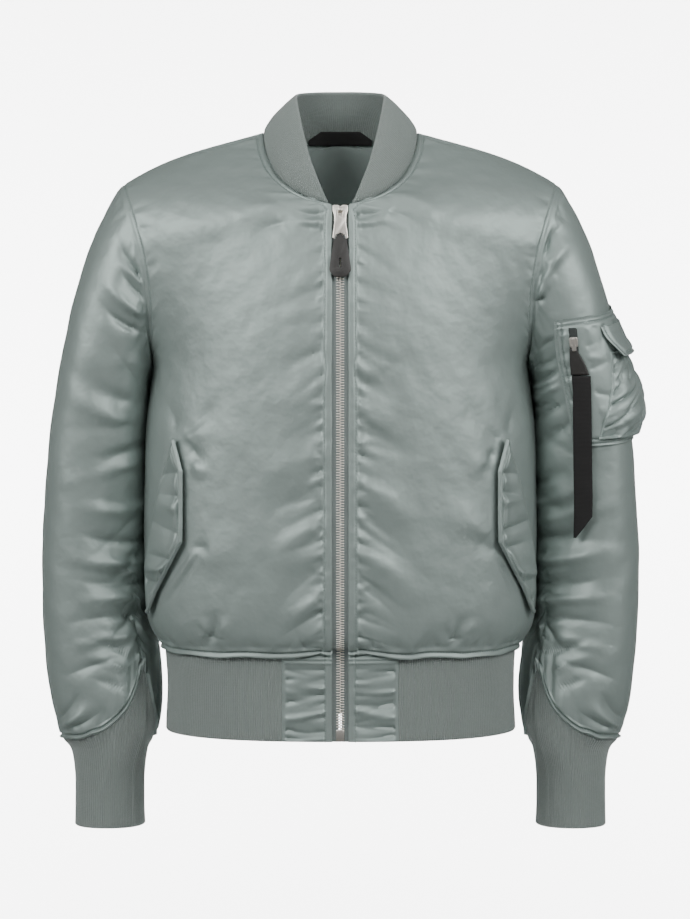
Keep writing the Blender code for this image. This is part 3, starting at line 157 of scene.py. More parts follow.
NECK = [
    Neck(0.0132, -0.0935, -0.0775, 0.0150, -0.0925, -0.0715),   # collar end
    Neck(0.0335, -0.0860, -0.0715, 0.0235, -0.0860, -0.0520),
    Neck(0.0545, -0.0700, -0.0595, 0.0310, -0.0745, -0.0330),
    Neck(0.0705, -0.0480, -0.0430, 0.0375, -0.0595, -0.0100),
    Neck(0.0805, -0.0235, -0.0215, 0.0440, -0.0370, 0.0170),
    Neck(0.0840, 0.0000, 0.0000, 0.0475, -0.0060, 0.0370),      # neck point
    Neck(0.0790, 0.0185, -0.0025, 0.0465, 0.0140, 0.0420),
    Neck(0.0665, 0.0360, -0.0060, 0.0400, 0.0300, 0.0440),
    Neck(0.0470, 0.0510, -0.0095, 0.0290, 0.0410, 0.0450),
    Neck(0.0240, 0.0595, -0.0115, 0.0150, 0.0475, 0.0455),
    Neck(0.0000, 0.0620, -0.0120, 0.0000, 0.0495, 0.0455),      # centre back
]
NECK_POINT = 5


class Arm(NamedTuple):
    """A ring of the left arm: its outer and inner points, its depths, its setback and its fullness."""

    out_x: float
    out_y: float
    out_z: float
    in_x: float
    in_y: float
    in_z: float
    front: float
    back: float
    inset: float
    full: float


ARM = [
    Arm(0.2375, 0.000, -0.0580, 0.2050, 0.028, UNDERARM_Z, 0.074, 0.070, 0.012, 0.00),  # armhole
    Arm(0.2625, 0.008, -0.104, 0.2100, 0.036, -0.272, 0.080, 0.073, 0.006, 0.05),
    Arm(0.2868, 0.014, -0.172, 0.2105, 0.044, -0.300, 0.084, 0.076, 0.002, 0.10),       # upper arm
    Arm(0.3055, 0.020, -0.258, 0.2100, 0.048, -0.350, 0.085, 0.077, 0.000, 0.12),
    Arm(0.3178, 0.024, -0.342, 0.2105, 0.050, -0.405, 0.084, 0.076, 0.000, 0.12),
    Arm(0.3240, 0.026, -0.418, 0.2105, 0.050, -0.460, 0.083, 0.075, 0.000, 0.12),       # elbow
    Arm(0.3255, 0.024, -0.490, 0.2085, 0.048, -0.512, 0.081, 0.073, 0.000, 0.12),
    Arm(0.3230, 0.018, -0.550, 0.1990, 0.038, -0.556, 0.075, 0.070, 0.000, 0.10),       # forearm
    Arm(0.3170, 0.010, -0.602, 0.1935, 0.018, -0.602, 0.065, 0.063, 0.000, 0.08),
    Arm(0.3100, 0.004, -0.636, 0.1965, 0.008, -0.636, 0.056, 0.055, 0.000, 0.06),       # roll over cuff
    Arm(0.3010, 0.000, -0.6585, 0.2040, 0.002, -0.6585, 0.045, 0.045, 0.000, 0.04),     # cuff seam
    Arm(0.2895, -0.002, -0.675, 0.2115, 0.000, -0.675, 0.038, 0.038, 0.000, 0.04),
    Arm(0.2880, -0.004, -0.710, 0.2130, -0.002, -0.710, 0.036, 0.036, 0.000, 0.04),
    Arm(0.2885, -0.006, -0.749, 0.2125, -0.004, -0.749, 0.036, 0.036, 0.000, 0.04),     # cuff end
]
WRIST_DEG = (0.0, 60.0, 90.0, 105.0, 120.0, 135.0, 150.0, 165.0, 180.0, 210.0, 270.0, 360.0)
WRIST_EDGE_DEG = (0.0, 62.0, 88.0, 110.0, 124.0, 136.0, 144.0, 157.0, 172.0, 205.0, 268.0, 360.0)
WRIST_Z = (-0.6560, -0.6520, -0.6420, -0.6240, -0.5980, -0.5660, -0.6060, -0.6320, -0.6520, -0.6565,
           -0.6570, -0.6560)

FLAP_Z = (-0.3260, -0.3600, -0.3880, -0.4130, -0.4350, -0.4640, -0.4900, -0.5145)
FLAP_INNER_X = (0.1722, 0.1635, 0.1635, 0.1635, 0.1640, 0.1785, 0.1915, 0.2010)
FLAP_OUTER_X = (0.1748, 0.1885, 0.1955, 0.2010, 0.2050, 0.2085, 0.2085, 0.2040)


class Patch(NamedTuple):
    """A level of a patch on the left sleeve: its front edge by x and height, its rear edge by angle."""

    front_x: float
    front_z: float
    rear_deg: float
    rear_z: float


POCKET = [
    Patch(0.2275, -0.2015, -38.0, -0.1815), Patch(0.2305, -0.2350, -38.0, -0.2180),
    Patch(0.2385, -0.2720, -38.0, -0.2560), Patch(0.2450, -0.3060, -38.0, -0.2930),
    Patch(0.2490, -0.3370, -38.0, -0.3260),
]
PEN_POCKET = [
    Patch(0.2840, -0.2360, -30.0, -0.2250), Patch(0.2860, -0.2600, -30.0, -0.2520),
    Patch(0.2850, -0.2830, -30.0, -0.2780), Patch(0.2800, -0.3060, -30.0, -0.3020),
    Patch(0.2750, -0.3280, -30.0, -0.3230),
]
PEN_FLAP = [
    Patch(0.2740, -0.2090, -26.0, -0.1990), Patch(0.2780, -0.2200, -26.0, -0.2100),
    Patch(0.2840, -0.2310, -26.0, -0.2230), Patch(0.2900, -0.2420, -20.0, -0.2360),
]
PEN_BULGE = (0.002, 0.010, 0.0155, 0.0155, 0.005)
PEN_FLAP_LIFT = (0.0014, 0.0034, 0.0075, 0.0120)


class Strip(NamedTuple):
    """A level of a strip on the front of the left sleeve."""

    z: float
    left_x: float
    right_x: float


SLEEVE_ZIP = [Strip(-0.2090, 0.2425, 0.2510), Strip(-0.2400, 0.2455, 0.2540),
              Strip(-0.2700, 0.2485, 0.2570), Strip(-0.3000, 0.2515, 0.2600)]
SLEEVE_LEATHER = [Strip(-0.2305, 0.2445, 0.2510), Strip(-0.2450, 0.2455, 0.2590),
                  Strip(-0.2590, 0.2470, 0.2645)]
RIBBON = [Strip(-0.2600, 0.2475, 0.2655), Strip(-0.2750, 0.2490, 0.2665), Strip(-0.3150, 0.2500, 0.2680),
          Strip(-0.3550, 0.2510, 0.2690), Strip(-0.3900, 0.2520, 0.2700), Strip(-0.4110, 0.2522, 0.2700),
          Strip(-0.4340, 0.2520, 0.2545)]


class Side(Enum):
    """The wearer's side, with the sign of its x."""

    LEFT = 1.0
    RIGHT = -1.0

    @property
    def word(self) -> str:
        """The side as it stands in a piece's name."""
        return self.name.lower()

    def turned(self, vectors: Array) -> Array:
        """Points or directions of the left side, brought to this one."""
        return vectors * np.array([self.value, 1.0, 1.0])


class Slot(Enum):
    """The material slots."""

    SATIN = "satin_nylon"
    LINING = "lining_satin"
    RIB = "rib_knit"
    ZIP_TAPE = "zip_tape"
    BLACK_TAPE = "black_tape"
    LEATHER = "black_leather"
    NICKEL = "nickel"


# ---------------------------------------------------------------- curves and sections
def unit(vectors: Array) -> Array:
    """Vectors at length 1."""
    return vectors / np.maximum(np.linalg.norm(vectors, axis=-1, keepdims=True), 1e-12)


def spline(knots: Sequence[float], values: Any, where: Any) -> Array:
    """Smooth curve through values.

    Args:
        knots: Rising places of the values.
        values: One number or point to each knot.
        where: Places to read the curve at, of any shape.

    Returns:
        The curve at each place.
    """
    knots, values = np.asarray(knots, float), np.asarray(values, float)
    where = np.clip(np.asarray(where, float), knots[0], knots[-1])
    slopes = np.gradient(values, knots, axis=0)
    span = np.clip(np.searchsorted(knots, where, side="right") - 1, 0, len(knots) - 2)
    width = knots[span + 1] - knots[span]
    t = (where - knots[span]) / width
    if values.ndim > 1:
        extra = (1,) * (values.ndim - 1)
        t, width = t.reshape(t.shape + extra), width.reshape(width.shape + extra)
    return ((2 * t**3 - 3 * t**2 + 1) * values[span] + (t**3 - 2 * t**2 + t) * width * slopes[span]
            + (3 * t**2 - 2 * t**3) * values[span + 1] + (t**3 - t**2) * width * slopes[span + 1])


def section(inner: Array, outer: Array, turn_deg: Any, share: Array) -> Array:
    """Points of level sections between a middle line and a side, bulging like a chest or a back.

    Args:
        inner: Point on the middle line, share 0.
        outer: Point at the side, share 1.
        turn_deg: Angle that the section turns through.
        share: How far round each point lies.

    Returns:
        A point for each share.
    """
    turn = np.radians(turn_deg)
    t = share * turn
    across = np.sin(t) * (1 + FULL_WIDTH * np.cos(t) ** 2 * (1 - share)) / np.sin(turn)
    deep = np.cos(t) * (1 + FULL_DEPTH * np.sin(t) ** 2 * (1 - share))
    deep = (deep - np.cos(turn)) / (1 - np.cos(turn))
    return np.stack([inner[..., 0] + (outer[..., 0] - inner[..., 0]) * across,
                     outer[..., 1] + (inner[..., 1] - outer[..., 1]) * deep,
                     inner[..., 2] + (outer[..., 2] - inner[..., 2]) * share], axis=-1)


def arm_points(angle_deg: Any, ring: Any) -> Array:
    """Points of the left arm.

    Args:
        angle_deg: Angle round the arm, 0 outside, 90 in front and 180 at the body.
        ring: Ring of the ARM table, between rings too.

    Returns:
        A point for each pair.
    """
    angle, ring = np.broadcast_arrays(np.radians(angle_deg), np.asarray(ring, float))
    row = spline(range(len(ARM)), np.array(ARM), ring)
    across = np.cos(angle) * (1 + row[..., 9] * np.sin(angle) ** 2)
    deep = np.sin(angle) * (1 + row[..., 9] * np.cos(angle) ** 2)
    middle = (row[..., :3] + row[..., 3:6]) / 2
    points = middle + (row[..., :3] - row[..., 3:6]) / 2 * across[..., None]
    points[..., 0] -= row[..., 8] * np.sin(angle) ** 2
    points[..., 1] -= deep * np.where(deep > 0, row[..., 6], row[..., 7])
    return points


def halved(test: Callable[[Array], Array], low: Array, high: Array) -> Array:
    """Places where a test turns false, by halving the span between low and high."""
    low, high = np.array(low, float), np.array(high, float)
    for _ in range(32):
        middle = (low + high) / 2
        passed = test(middle)
        low, high = np.where(passed, middle, low), np.where(passed, high, middle)
    return (low + high) / 2


def ring_at(angle_deg: Array, z: Array) -> Array:
    """Rings where the arm reaches heights at angles."""
    zeros = np.zeros(np.shape(angle_deg))
    return halved(lambda ring: arm_points(angle_deg, ring)[..., 2] > z, zeros, zeros + len(ARM) - 1)


def arm_surface(angle_deg: Any, z: Any) -> Array:
    """Outer points of the left arm at angles round it and heights."""
    angle, z = np.broadcast_arrays(np.asarray(angle_deg, float), np.asarray(z, float))
    return arm_points(angle, ring_at(angle, z))


def torso_surface(share: Any, z: Any, is_front: bool = True,
                  table: Sequence[Torso] = tuple(TORSO)) -> Array:
    """Outer points of the left front or the left half of the back.

    Args:
        share: How far round the section, 0 at the middle and 1 at the side seam.
        z: Heights.
        is_front: The front, or else the back.
        table: TORSO or HEM.

    Returns:
        A point for each pair.
    """
    share, z = np.broadcast_arrays(np.asarray(share, float), np.asarray(z, float))
    up = sorted(table)
    row = spline([level.z for level in up], np.array(up), z)
    edge_x = z * 0 + (FRONT_EDGE_X if is_front else 0.0)
    inner = np.stack([edge_x, row[..., 1 if is_front else 2], z], axis=-1)
    outer = np.stack([row[..., 3], row[..., 4], z], axis=-1)
    return section(inner, outer, row[..., 5] if is_front else BACK_TURN, share)


def around_at(surface: Surface, x: Array, z: Array, low: float, high: float) -> Array:
    """Shares or angles between low and high where a surface shows at x from in front."""
    x, z = np.asarray(x, float), np.asarray(z, float)
    rising = surface(high + 0 * z, z)[..., 0] > surface(low + 0 * z, z)[..., 0]
    return halved(lambda a: (surface(a, z)[..., 0] < x) == rising, low + 0 * z, high + 0 * z)


# ---------------------------------------------------------------- fine grids
def through(values: Array, where: Array, corners: Sequence[int] = ()) -> Array:
    """Spline by index along the first axis, with a corner at some of the indices."""
    stops = [0, *corners, len(values) - 1]
    result = np.empty(where.shape + values.shape[1:])
    for first, last in zip(stops, stops[1:]):
        inside = (where >= first) & (where <= last)
        result[inside] = spline(range(first, last + 1), values[first:last + 1], where[inside])
    return result


def graded(last: float, count: int, pinch: float) -> Array:
    """Places from 0 to last that crowd towards both ends, by pinch from 0 to 1."""
    t = np.linspace(0.0, 1.0, count + 1)
    return last * (t - pinch * np.sin(2 * math.pi * t) / (2 * math.pi))


def resampled(grid: Array, rows: Array, columns: Array, corners: Sequence[int] = (),
              closed: bool = False) -> Array:
    """Smooth finer grid through a coarse one.

    Args:
        grid: Coarse points, rows by columns.
        rows: Places along the rows, by index.
        columns: Places along the columns, by index.
        corners: Rows where the surface may turn sharply.
        closed: The columns go round a tube.

    Returns:
        The finer points.
    """
    fine = through(grid, rows, corners)
    if closed:
        fine = np.concatenate([fine[:, -3:], fine, fine[:, :3]], axis=1)
        columns = columns + 3
    return np.swapaxes(through(np.swapaxes(fine, 0, 1), columns), 0, 1)


def relaxed(grid: Array, rounds: int, closed: bool = False) -> Array:
    """Grid with its inner points moved towards their neighbours' mean, the edges kept."""
    grid = grid.copy()
    for _ in range(rounds):
        if closed:
            beside = np.roll(grid, 1, axis=1) + np.roll(grid, -1, axis=1)
            grid[1:-1] = (grid[:-2] + grid[2:] + beside[1:-1]) / 4
        else:
            grid[1:-1, 1:-1] = (grid[:-2, 1:-1] + grid[2:, 1:-1] + grid[1:-1, :-2] + grid[1:-1, 2:]) / 4
    return grid


def run_of(line: Array) -> Array:
    """Way along a line of points, from 0."""
    return np.concatenate([[0.0], np.cumsum(np.linalg.norm(np.diff(line, axis=0), axis=1))])


def read_at(places: Array, run: Array, line: Array) -> Array:
    """Points of a line at places along its run."""
    return np.stack([np.interp(places, run, line[:, k]) for k in range(3)], axis=-1)


class Lay:
    """A fine grid of cloth with its outward normals and each point's way from the grid's four edges."""

    def __init__(self, points: Array, outward: Outward, closed: bool = False) -> None:
        """Works out normals and distances.

        Args:
            points: Grid of points, rows by columns.
            outward: Gives a rough outward direction at each point.
            closed: The columns go round a tube.
        """
        self.points, self.closed = points, closed
        along = np.gradient(points, axis=1)
        if closed:
            along = (np.roll(points, -1, axis=1) - np.roll(points, 1, axis=1)) / 2
        normals = np.cross(along, np.gradient(points, axis=0))
        flip = np.sign((normals * outward(points)).sum(axis=-1).sum())
        self.normals = unit(normals) * flip
        across = np.linalg.norm(np.diff(points, axis=1), axis=-1)
        upward = np.linalg.norm(np.diff(points, axis=0), axis=-1)
        self.first = np.pad(np.cumsum(across, axis=1), ((0, 0), (1, 0)))
        self.last = self.first[:, -1:] - self.first
        self.foot = np.pad(np.cumsum(upward, axis=0), ((1, 0), (0, 0)))
        self.top = self.foot[-1:] - self.foot
        # The way along each of the four edges, for every point that faces it.
        shape = self.foot.shape
        self.first_edge = np.broadcast_to(self.foot[:, :1], shape)
        self.last_edge = np.broadcast_to(self.foot[:, -1:], shape)
        self.foot_edge = np.broadcast_to(self.first[:1], shape)
        self.top_edge = np.broadcast_to(self.first[-1:], shape)

    def way_up(self, column: int, z: float) -> float:
        """Way up a column to a height."""
        return float(np.interp(z, self.points[:, column, 2], self.foot[:, column]))

    def raised(self, height: Array) -> Array:
        """Points moved out along the normals."""
        return self.points + self.normals * np.asarray(height)[..., None]


# ---------------------------------------------------------------- relief of the cloth
def nearest(*ways: Array) -> Array:
    """The least of several distances, point by point."""
    return np.minimum.reduce(ways)


def ridge(way: Array, at: float, width: float) -> Array:
    """A round ridge of height 1 that lies at a distance from an edge."""
    return np.exp(-(((way - at) / width) ** 2))


def noise(u: Array, v: Array, seed: int, wrap: int = NOISE_WRAP) -> Array:
    """Smooth noise from about -0.7 to 0.7.

    Args:
        u: First place, in grains; it repeats after wrap grains.
        v: Second place, in grains.
        seed: Picks the pattern.
        wrap: Grains before the pattern repeats along u.

    Returns:
        The noise at each place.
    """
    turns = np.random.default_rng(seed).uniform(0.0, 2 * math.pi, (wrap, NOISE_WRAP))
    cell_u, cell_v = np.floor(u).astype(int), np.floor(v).astype(int)
    part_u, part_v = u - cell_u, v - cell_v
    total = np.zeros(np.broadcast(u, v).shape)
    for a in (0, 1):
        for b in (0, 1):
            turn = turns[(cell_u + a) % wrap, (cell_v + b) % NOISE_WRAP]
            slope = np.cos(turn) * (part_u - a) + np.sin(turn) * (part_v - b)
            near_u, near_v = 1 - np.abs(part_u - a), 1 - np.abs(part_v - b)
            total += slope * (near_u**3 * (near_u * (6 * near_u - 15) + 10)
                              * near_v**3 * (near_v * (6 * near_v - 15) + 10))
    return total


def smooth_step(value: Array, low: float, high: float) -> Array:
    """0 below low, 1 above high, and a smooth rise between."""
    t = np.clip((value - low) / (high - low), 0.0, 1.0)
    return t * t * (3 - 2 * t)


@dataclass(frozen=True)
class Crumple:
    """Wandering creases with full cloth between them, as padded satin takes with wear."""

    height: float          # depth of a crease under the cloth beside it
    along: float           # size of a grain along the cloth's length
    across: float          # size of a grain round it
    sharp: float           # share of a grain that a crease takes
    lean: float            # how far a grain slides round for each metre of length
    seed: int

    def relief(self, around: Array, down: Array) -> Array:
        """Height, zero or less, by way across the piece and way along it."""
        u = (around + self.lean * down) / self.across
        v = down / self.along
        value = noise(u, v, self.seed) + 0.35 * noise(2 * u, 2 * v, self.seed + 7, 2 * NOISE_WRAP)
        return -self.height * np.exp(-np.abs(value) / self.sharp)


@dataclass(frozen=True)
class Gathers:
    """Uneven puckers that run in from a seam and fan out."""

    spacing: float         # mean distance between two of them
    width: float
    reach: float
    height: float
    lean: float = 0.35     # most that one slants, for each metre in
    seed: int = 1
    start: float = 0.0     # distance from the edge where they begin

    def relief(self, along: Array, away: Array, low: float = -1e9, high: float = 1e9,
               tilt: float = 0.0) -> Array:
        """Height at each point.

        Args:
            along: Way along the seam.
            away: Distance from the seam.
            low: Where along the seam the puckers begin.
            high: Where they end.
            tilt: Slant that all of them share.

        Returns:
            The height, above and below zero.
        """
        rng = np.random.default_rng(self.seed)
        low, high = max(low, float(along.min())), min(high, float(along.max()))
        count = max(1, int((high - low) / self.spacing))
        away = away - self.start
        total = np.zeros(along.shape)
        for index in range(count):
            middle = low + (index + rng.uniform(0.1, 0.9)) * (high - low) / count
            reach = self.reach * rng.uniform(0.35, 1.35)
            width = self.width * rng.uniform(0.6, 1.3) * (1 + 1.2 * np.clip(away, 0, None) / self.reach)
            slant = tilt + self.lean * rng.uniform(-1.0, 1.0)
            offset = (along - middle - slant * away) / width
            size, power = (0.7 * self.height, 2.0) if index % 3 == 2 else (-self.height, 1.2)
            fade = (np.clip(away, 0, None) / reach) ** 2
            total += size * rng.uniform(0.4, 1.0) * np.exp(-np.abs(offset) ** power - fade)
        return total * smooth_step(away, 0.0, 0.004)


@dataclass(frozen=True)
class Seam:
    """How the cloth sinks into a seam, and the row of topstitching beside it."""

    depth: float = 0.0016
    reach: float = 0.0035
    stitch: float = 0.0
    stitch_depth: float = 0.0009

    def relief(self, away: Array) -> Array:
        """Height, zero or less, at each distance from the seam."""
        height = -self.depth * np.exp(-((np.clip(away, 0, None) / self.reach) ** 1.3))
        if self.stitch:
            height -= self.stitch_depth * np.exp(-(((away - self.stitch) / 0.0013) ** 2))
        return height


class Fold(NamedTuple):
    """A soft ridge (height above 0) or trough that fades from its root to its far end."""

    x0: float              # root, by distance from the jacket's middle and height
    z0: float
    x1: float              # far end
    z1: float
    width: float
    height: float
    bow: float = 0.0       # how far its middle lies off the straight line, up or out
    sharp: float = 2.0     # 2 is a round section, 1 a sharp one


def fold_table(*rows: tuple[float, ...]) -> list[Fold]:
    """Folds from rows of numbers in mm, with the plain sharpness last."""
    return [Fold(*(value / 1000 for value in row[:7]), *row[7:]) for row in rows]


def folds_relief(points: Array, folds: Sequence[Fold]) -> Array:
    """Height of placed folds at each point, by its x and z."""
    total = np.zeros(points.shape[:-1])
    flat = points[..., [0, 2]]
    for fold in folds:
        start, along = np.array([fold.x0, fold.z0]), np.array([fold.x1 - fold.x0, fold.z1 - fold.z0])
        share = np.clip((flat - start) @ along / (along @ along), 0.0, 1.0)
        across = unit(np.array([-along[1], along[0]]))
        line = start + share[..., None] * along + (4 * share * (1 - share) * fold.bow)[..., None] * across
        away = np.linalg.norm(flat - line, axis=-1) / (fold.width * (0.7 + 0.9 * share))
        taper = (0.45 + 0.55 * smooth_step(share, 0.0, 0.12)) * (1 - smooth_step(share, 0.30, 1.0))
        total += fold.height * taper * np.exp(-(away**fold.sharp))
    return total


# ---------------------------------------------------------------- the cut of each panel
def front_shares() -> Array:
    """Shares of a front's coarse columns: three over the waistband panel, then the side."""
    seam = TORSO[0]
    reach = (PANEL_EDGE_X - FRONT_EDGE_X) / (seam.side_x - FRONT_EDGE_X)
    split = math.degrees(math.asin(reach * math.sin(math.radians(seam.turn)))) / seam.turn * PANEL_TRIM
    first = np.linspace(0.0, split, PANEL_COLUMNS + 1)
    return np.concatenate([first, np.linspace(split, 1.0, SIDE_COLUMNS + 1)[1:]])


def back_shares() -> Array:
    """Shares of the coarse columns of half the back."""
    return np.linspace(0.0, 1.0, BACK_COLUMNS + 1)


def seam_lift(share: Array, is_front: bool) -> Array:
    """Rise and fall of the waistband seam."""
    return HEM_WAVE * np.sin(math.pi * (3 if is_front else 2) * share) * np.sin(math.pi * share)


LOWER_ROWS = np.concatenate([[HEM_SEAM_Z, -0.545, -0.533], np.linspace(-0.515, UNDERARM_Z, 13)])
NECK_ROW = len(LOWER_ROWS) + len(CENTRE_FRONT) - 2     # row of a front at the top of the zip
BACK_NECK_ROW = len(LOWER_ROWS) + len(CENTRE_BACK) - 2  # row of the back at the middle of its neck


def panel_grid(is_front: bool) -> Array:
    """Coarse grid of the left front or the left half of the back, from the waistband up to the shoulder."""
    shares = front_shares() if is_front else back_shares()
    grid = list(torso_surface(shares[None, :], LOWER_ROWS[:, None], is_front))
    grid[0][:, 2] += seam_lift(shares, is_front)
    seam = [np.array(place[:3]) for place in NECK]
    neck = seam[:NECK_POINT + 1] if is_front else seam[:NECK_POINT - 1:-1][1:]
    middle, edge_x = (CENTRE_FRONT, FRONT_EDGE_X) if is_front else (CENTRE_BACK, 0.0)
    inner = [np.array([edge_x, y, z]) for z, y in middle] + neck
    turn = TORSO[-1].turn if is_front else BACK_TURN
    for step in range(1, ARM_ROWS + 1):
        angle = 180.0 * (1 - step / ARM_ROWS)
        outer = arm_points(angle if is_front else -angle, 0.0)
        row = section(inner[step], outer, turn + (SHOULDER_TURN - turn) * step / ARM_ROWS, shares)
        row[:, 2] += SHOULDER_RISE * (step / ARM_ROWS) ** 2 * np.sin(math.pi * shares**1.3)
        grid.append(row)
    return np.array(grid)


def wrist_edge(column_deg: Array) -> tuple[Array, Array]:
    """Angle round the arm and height of the sleeve's wrist edge, for angles of its columns."""
    return np.interp(column_deg, WRIST_DEG, WRIST_EDGE_DEG), np.interp(column_deg, WRIST_DEG, WRIST_Z)


def sleeve_grid() -> Array:
    """Coarse grid of the left sleeve, rows from the armhole to the wrist."""
    start = 360.0 * np.arange(ARM_COLUMNS) / ARM_COLUMNS
    angle, z = wrist_edge(start)
    share = np.arange(SLEEVE_ROWS + 1)[:, None] / SLEEVE_ROWS
    eased = share + 0.10 * np.sin(math.pi * share) ** 2
    return arm_points(start + (angle - start) * share**3, ring_at(angle, z) * eased)


def cuff_grid() -> Array:
    """Coarse grid of the left cuff, from the sleeve's wrist edge to its end."""
    start = 360.0 * np.arange(ARM_COLUMNS) / ARM_COLUMNS
    angle, z = wrist_edge(start)
    begin = ring_at(angle, z)
    share = np.array([0.0, 0.30, 0.72, 1.0])[:, None]
    return arm_points(angle + (start - angle) * share, begin + (len(ARM) - 1 - begin) * share)


def hem_grid() -> Array:
    """Coarse grid of the waistband's left half, from the zip to the middle of the back."""
    grid = []
    for row in HEM:
        front = torso_surface(front_shares(), row.z, True, HEM)
        back = torso_surface(back_shares(), row.z, False, HEM)
        grid.append(np.vstack([front, back[-2::-1]]))
    lift = np.concatenate([seam_lift(front_shares(), True), seam_lift(back_shares(), False)[-2::-1]])
    grid[0][:, 2] += lift
    return np.array(grid)


def collar_grid() -> Array:
    """Coarse grid of the collar round the whole neck, rows from the seam to the top edge."""
    table = np.array(NECK)
    seam, top = table[:, :3], table[:, 3:]
    outward = unit(np.column_stack([seam[:, 0], seam[:, 1], np.full(len(seam), 0.02)]))
    outward[-1] = unit(np.array([0.0, 1.0, 0.2]))
    bulge = COLLAR_BULGE * np.clip(np.linalg.norm(top - seam, axis=1) / 0.05, 0.0, 1.0)
    rows = [seam + (top - seam) * s + outward * (bulge * 4 * s * (1 - s))[:, None] for s in COLLAR_SHARES]
    half = np.array(rows)
    return np.concatenate([half, Side.RIGHT.turned(half)[:, -2::-1]], axis=1)


def zip_line() -> tuple[Array, Array]:
    """Points and forward normals of the zip's line, from the waistband's foot to the top."""
    up = sorted(TORSO)
    low = spline([level.z for level in up], [level.front_y for level in up], LOWER_ROWS)
    line = [(row.z, row.front_y) for row in HEM[:0:-1]] + list(zip(LOWER_ROWS, low)) + CENTRE_FRONT[1:]
    points = np.array([[0.0, y, z] for z, y in line])
    normals = unit(np.cross(unit(np.gradient(points, axis=0)), np.array([1.0, 0.0, 0.0])))
    return points, normals if normals[0, 1] < 0 else -normals


def from_torso_axis(points: Array) -> Array:
    """Rough outward direction on the torso."""
    return points * np.array([1.0, 1.5, 0.0])


def from_arm_axis(points: Array) -> Array:
    """Rough outward direction on the left arm."""
    return (points - np.array([*ARM_AXIS, 0.0])) * np.array([1.0, 1.0, 0.0])


def forwards(points: Array) -> Array:
    """Outward direction of a piece that faces the front."""
    return points * 0 + np.array([0.0, -1.0, 0.0])


# ---------------------------------------------------------------- finishes
def linear(hex_code: str) -> tuple[float, float, float, float]:
    """Linear colour of an sRGB hex value such as "8c9894"."""
    parts = [int(hex_code[k:k + 2], 16) / 255 for k in (0, 2, 4)]
    red, green, blue = (p / 12.92 if p <= 0.04045 else ((p + 0.055) / 1.055) ** 2.4 for p in parts)
    return red, green, blue, 1.0


def add_node(tree: Tree, kind: str, inputs: Optional[dict[Any, Any]] = None,
             **settings: Any) -> Node:
    """Adds a shader node.

    Args:
        tree: The material's node tree.
        kind: Node type without its ShaderNode prefix.
        inputs: A value, or the socket to link, for each input by name or index.
        settings: Properties of the node.

    Returns:
        The new node.
    """
    node = tree.nodes.new("ShaderNode" + kind)
    for name, value in settings.items():
        setattr(node, name, value)
    for key, value in (inputs or {}).items():
        if isinstance(value, Socket):
            tree.links.new(value, node.inputs[key])
        else:
            node.inputs[key].default_value = value
    return node


@dataclass(frozen=True)
class Finish(ABC):
    """One real material with its colour and roughness; each kind adds its own pattern."""

    name: str
    color: str
    roughness: float

    def material(self) -> bpy.types.Material:
        """The finish as a Blender material, made once."""
        found = bpy.data.materials.get(self.name)
        if found:
            return found
        material = bpy.data.materials.new(self.name)
        material.use_nodes = True
        shader = material.node_tree.nodes["Principled BSDF"]
        set_inputs(shader, {"Base Color": linear(self.color), "Roughness": self.roughness})
        self.dress(material.node_tree, shader)
        return material

    @abstractmethod
    def dress(self, tree: Tree, shader: Node) -> None:
        """Adds this finish's pattern to the shader."""

    def shade(self, tree: Tree, shader: Node, factor: Socket, spread: float) -> None:
        """Lets the colour vary about the finish's own by a share of it."""
        rgb = linear(self.color)[:3]
        dark, light = (tuple(c * (1 + s * spread) for c in rgb) + (1.0,) for s in (-1, 1))
        mixed = add_node(tree, "Mix", {0: factor, 6: dark, 7: light}, data_type="RGBA")
        tree.links.new(mixed.outputs[2], shader.inputs["Base Color"])


def set_inputs(shader: Node, values: dict[str, Any]) -> None:
    """Sets inputs of a shader by name."""
    for name, value in values.items():
        shader.inputs[name].default_value = value


def cloth_place(tree: Tree, size: tuple[float, float]) -> Socket:
    """Place on the cloth, in pattern repeats of a size in metres."""
    place = add_node(tree, "UVMap", uv_map="cloth").outputs[0]
    return add_node(tree, "Mapping", {0: place, "Scale": (1 / size[0], 1 / size[1], 1.0)}).outputs[0]


def noise_in(tree: Tree, scale: float, detail: float = 2.0) -> Socket:
    """Noise through the object, by its number of grains to the metre."""
    place = add_node(tree, "TexCoord").outputs["Object"]
    return add_node(tree, "TexNoise", {"Vector": place, "Scale": scale, "Detail": detail}).outputs[0]


def noise_on(tree: Tree, grain: tuple[float, float], **inputs: float) -> Socket:
    """Noise on the cloth, in grains of a size in metres."""
    inputs.update({"Vector": cloth_place(tree, grain), "Scale": 1.0})
    return add_node(tree, "TexNoise", inputs).outputs[0]


def bands_on(tree: Tree, size: float, scale: float, wander: float) -> Socket:
    """Bands across the cloth."""
    inputs = {"Vector": cloth_place(tree, (size, size)), "Scale": scale, "Distortion": wander}
    return add_node(tree, "TexWave", inputs, bands_direction="Y").outputs[1]


def bump(tree: Tree, shader: Node, height: Socket, distance: float) -> None:
    """Adds a bump of a real height to a shader, over any that it has."""
    inputs = {"Height": height, "Distance": distance, "Strength": 1.0}
    before = shader.inputs["Normal"].links
    if before:
        inputs["Normal"] = before[0].from_socket
    tree.links.new(add_node(tree, "Bump", inputs).outputs[0], shader.inputs["Normal"])


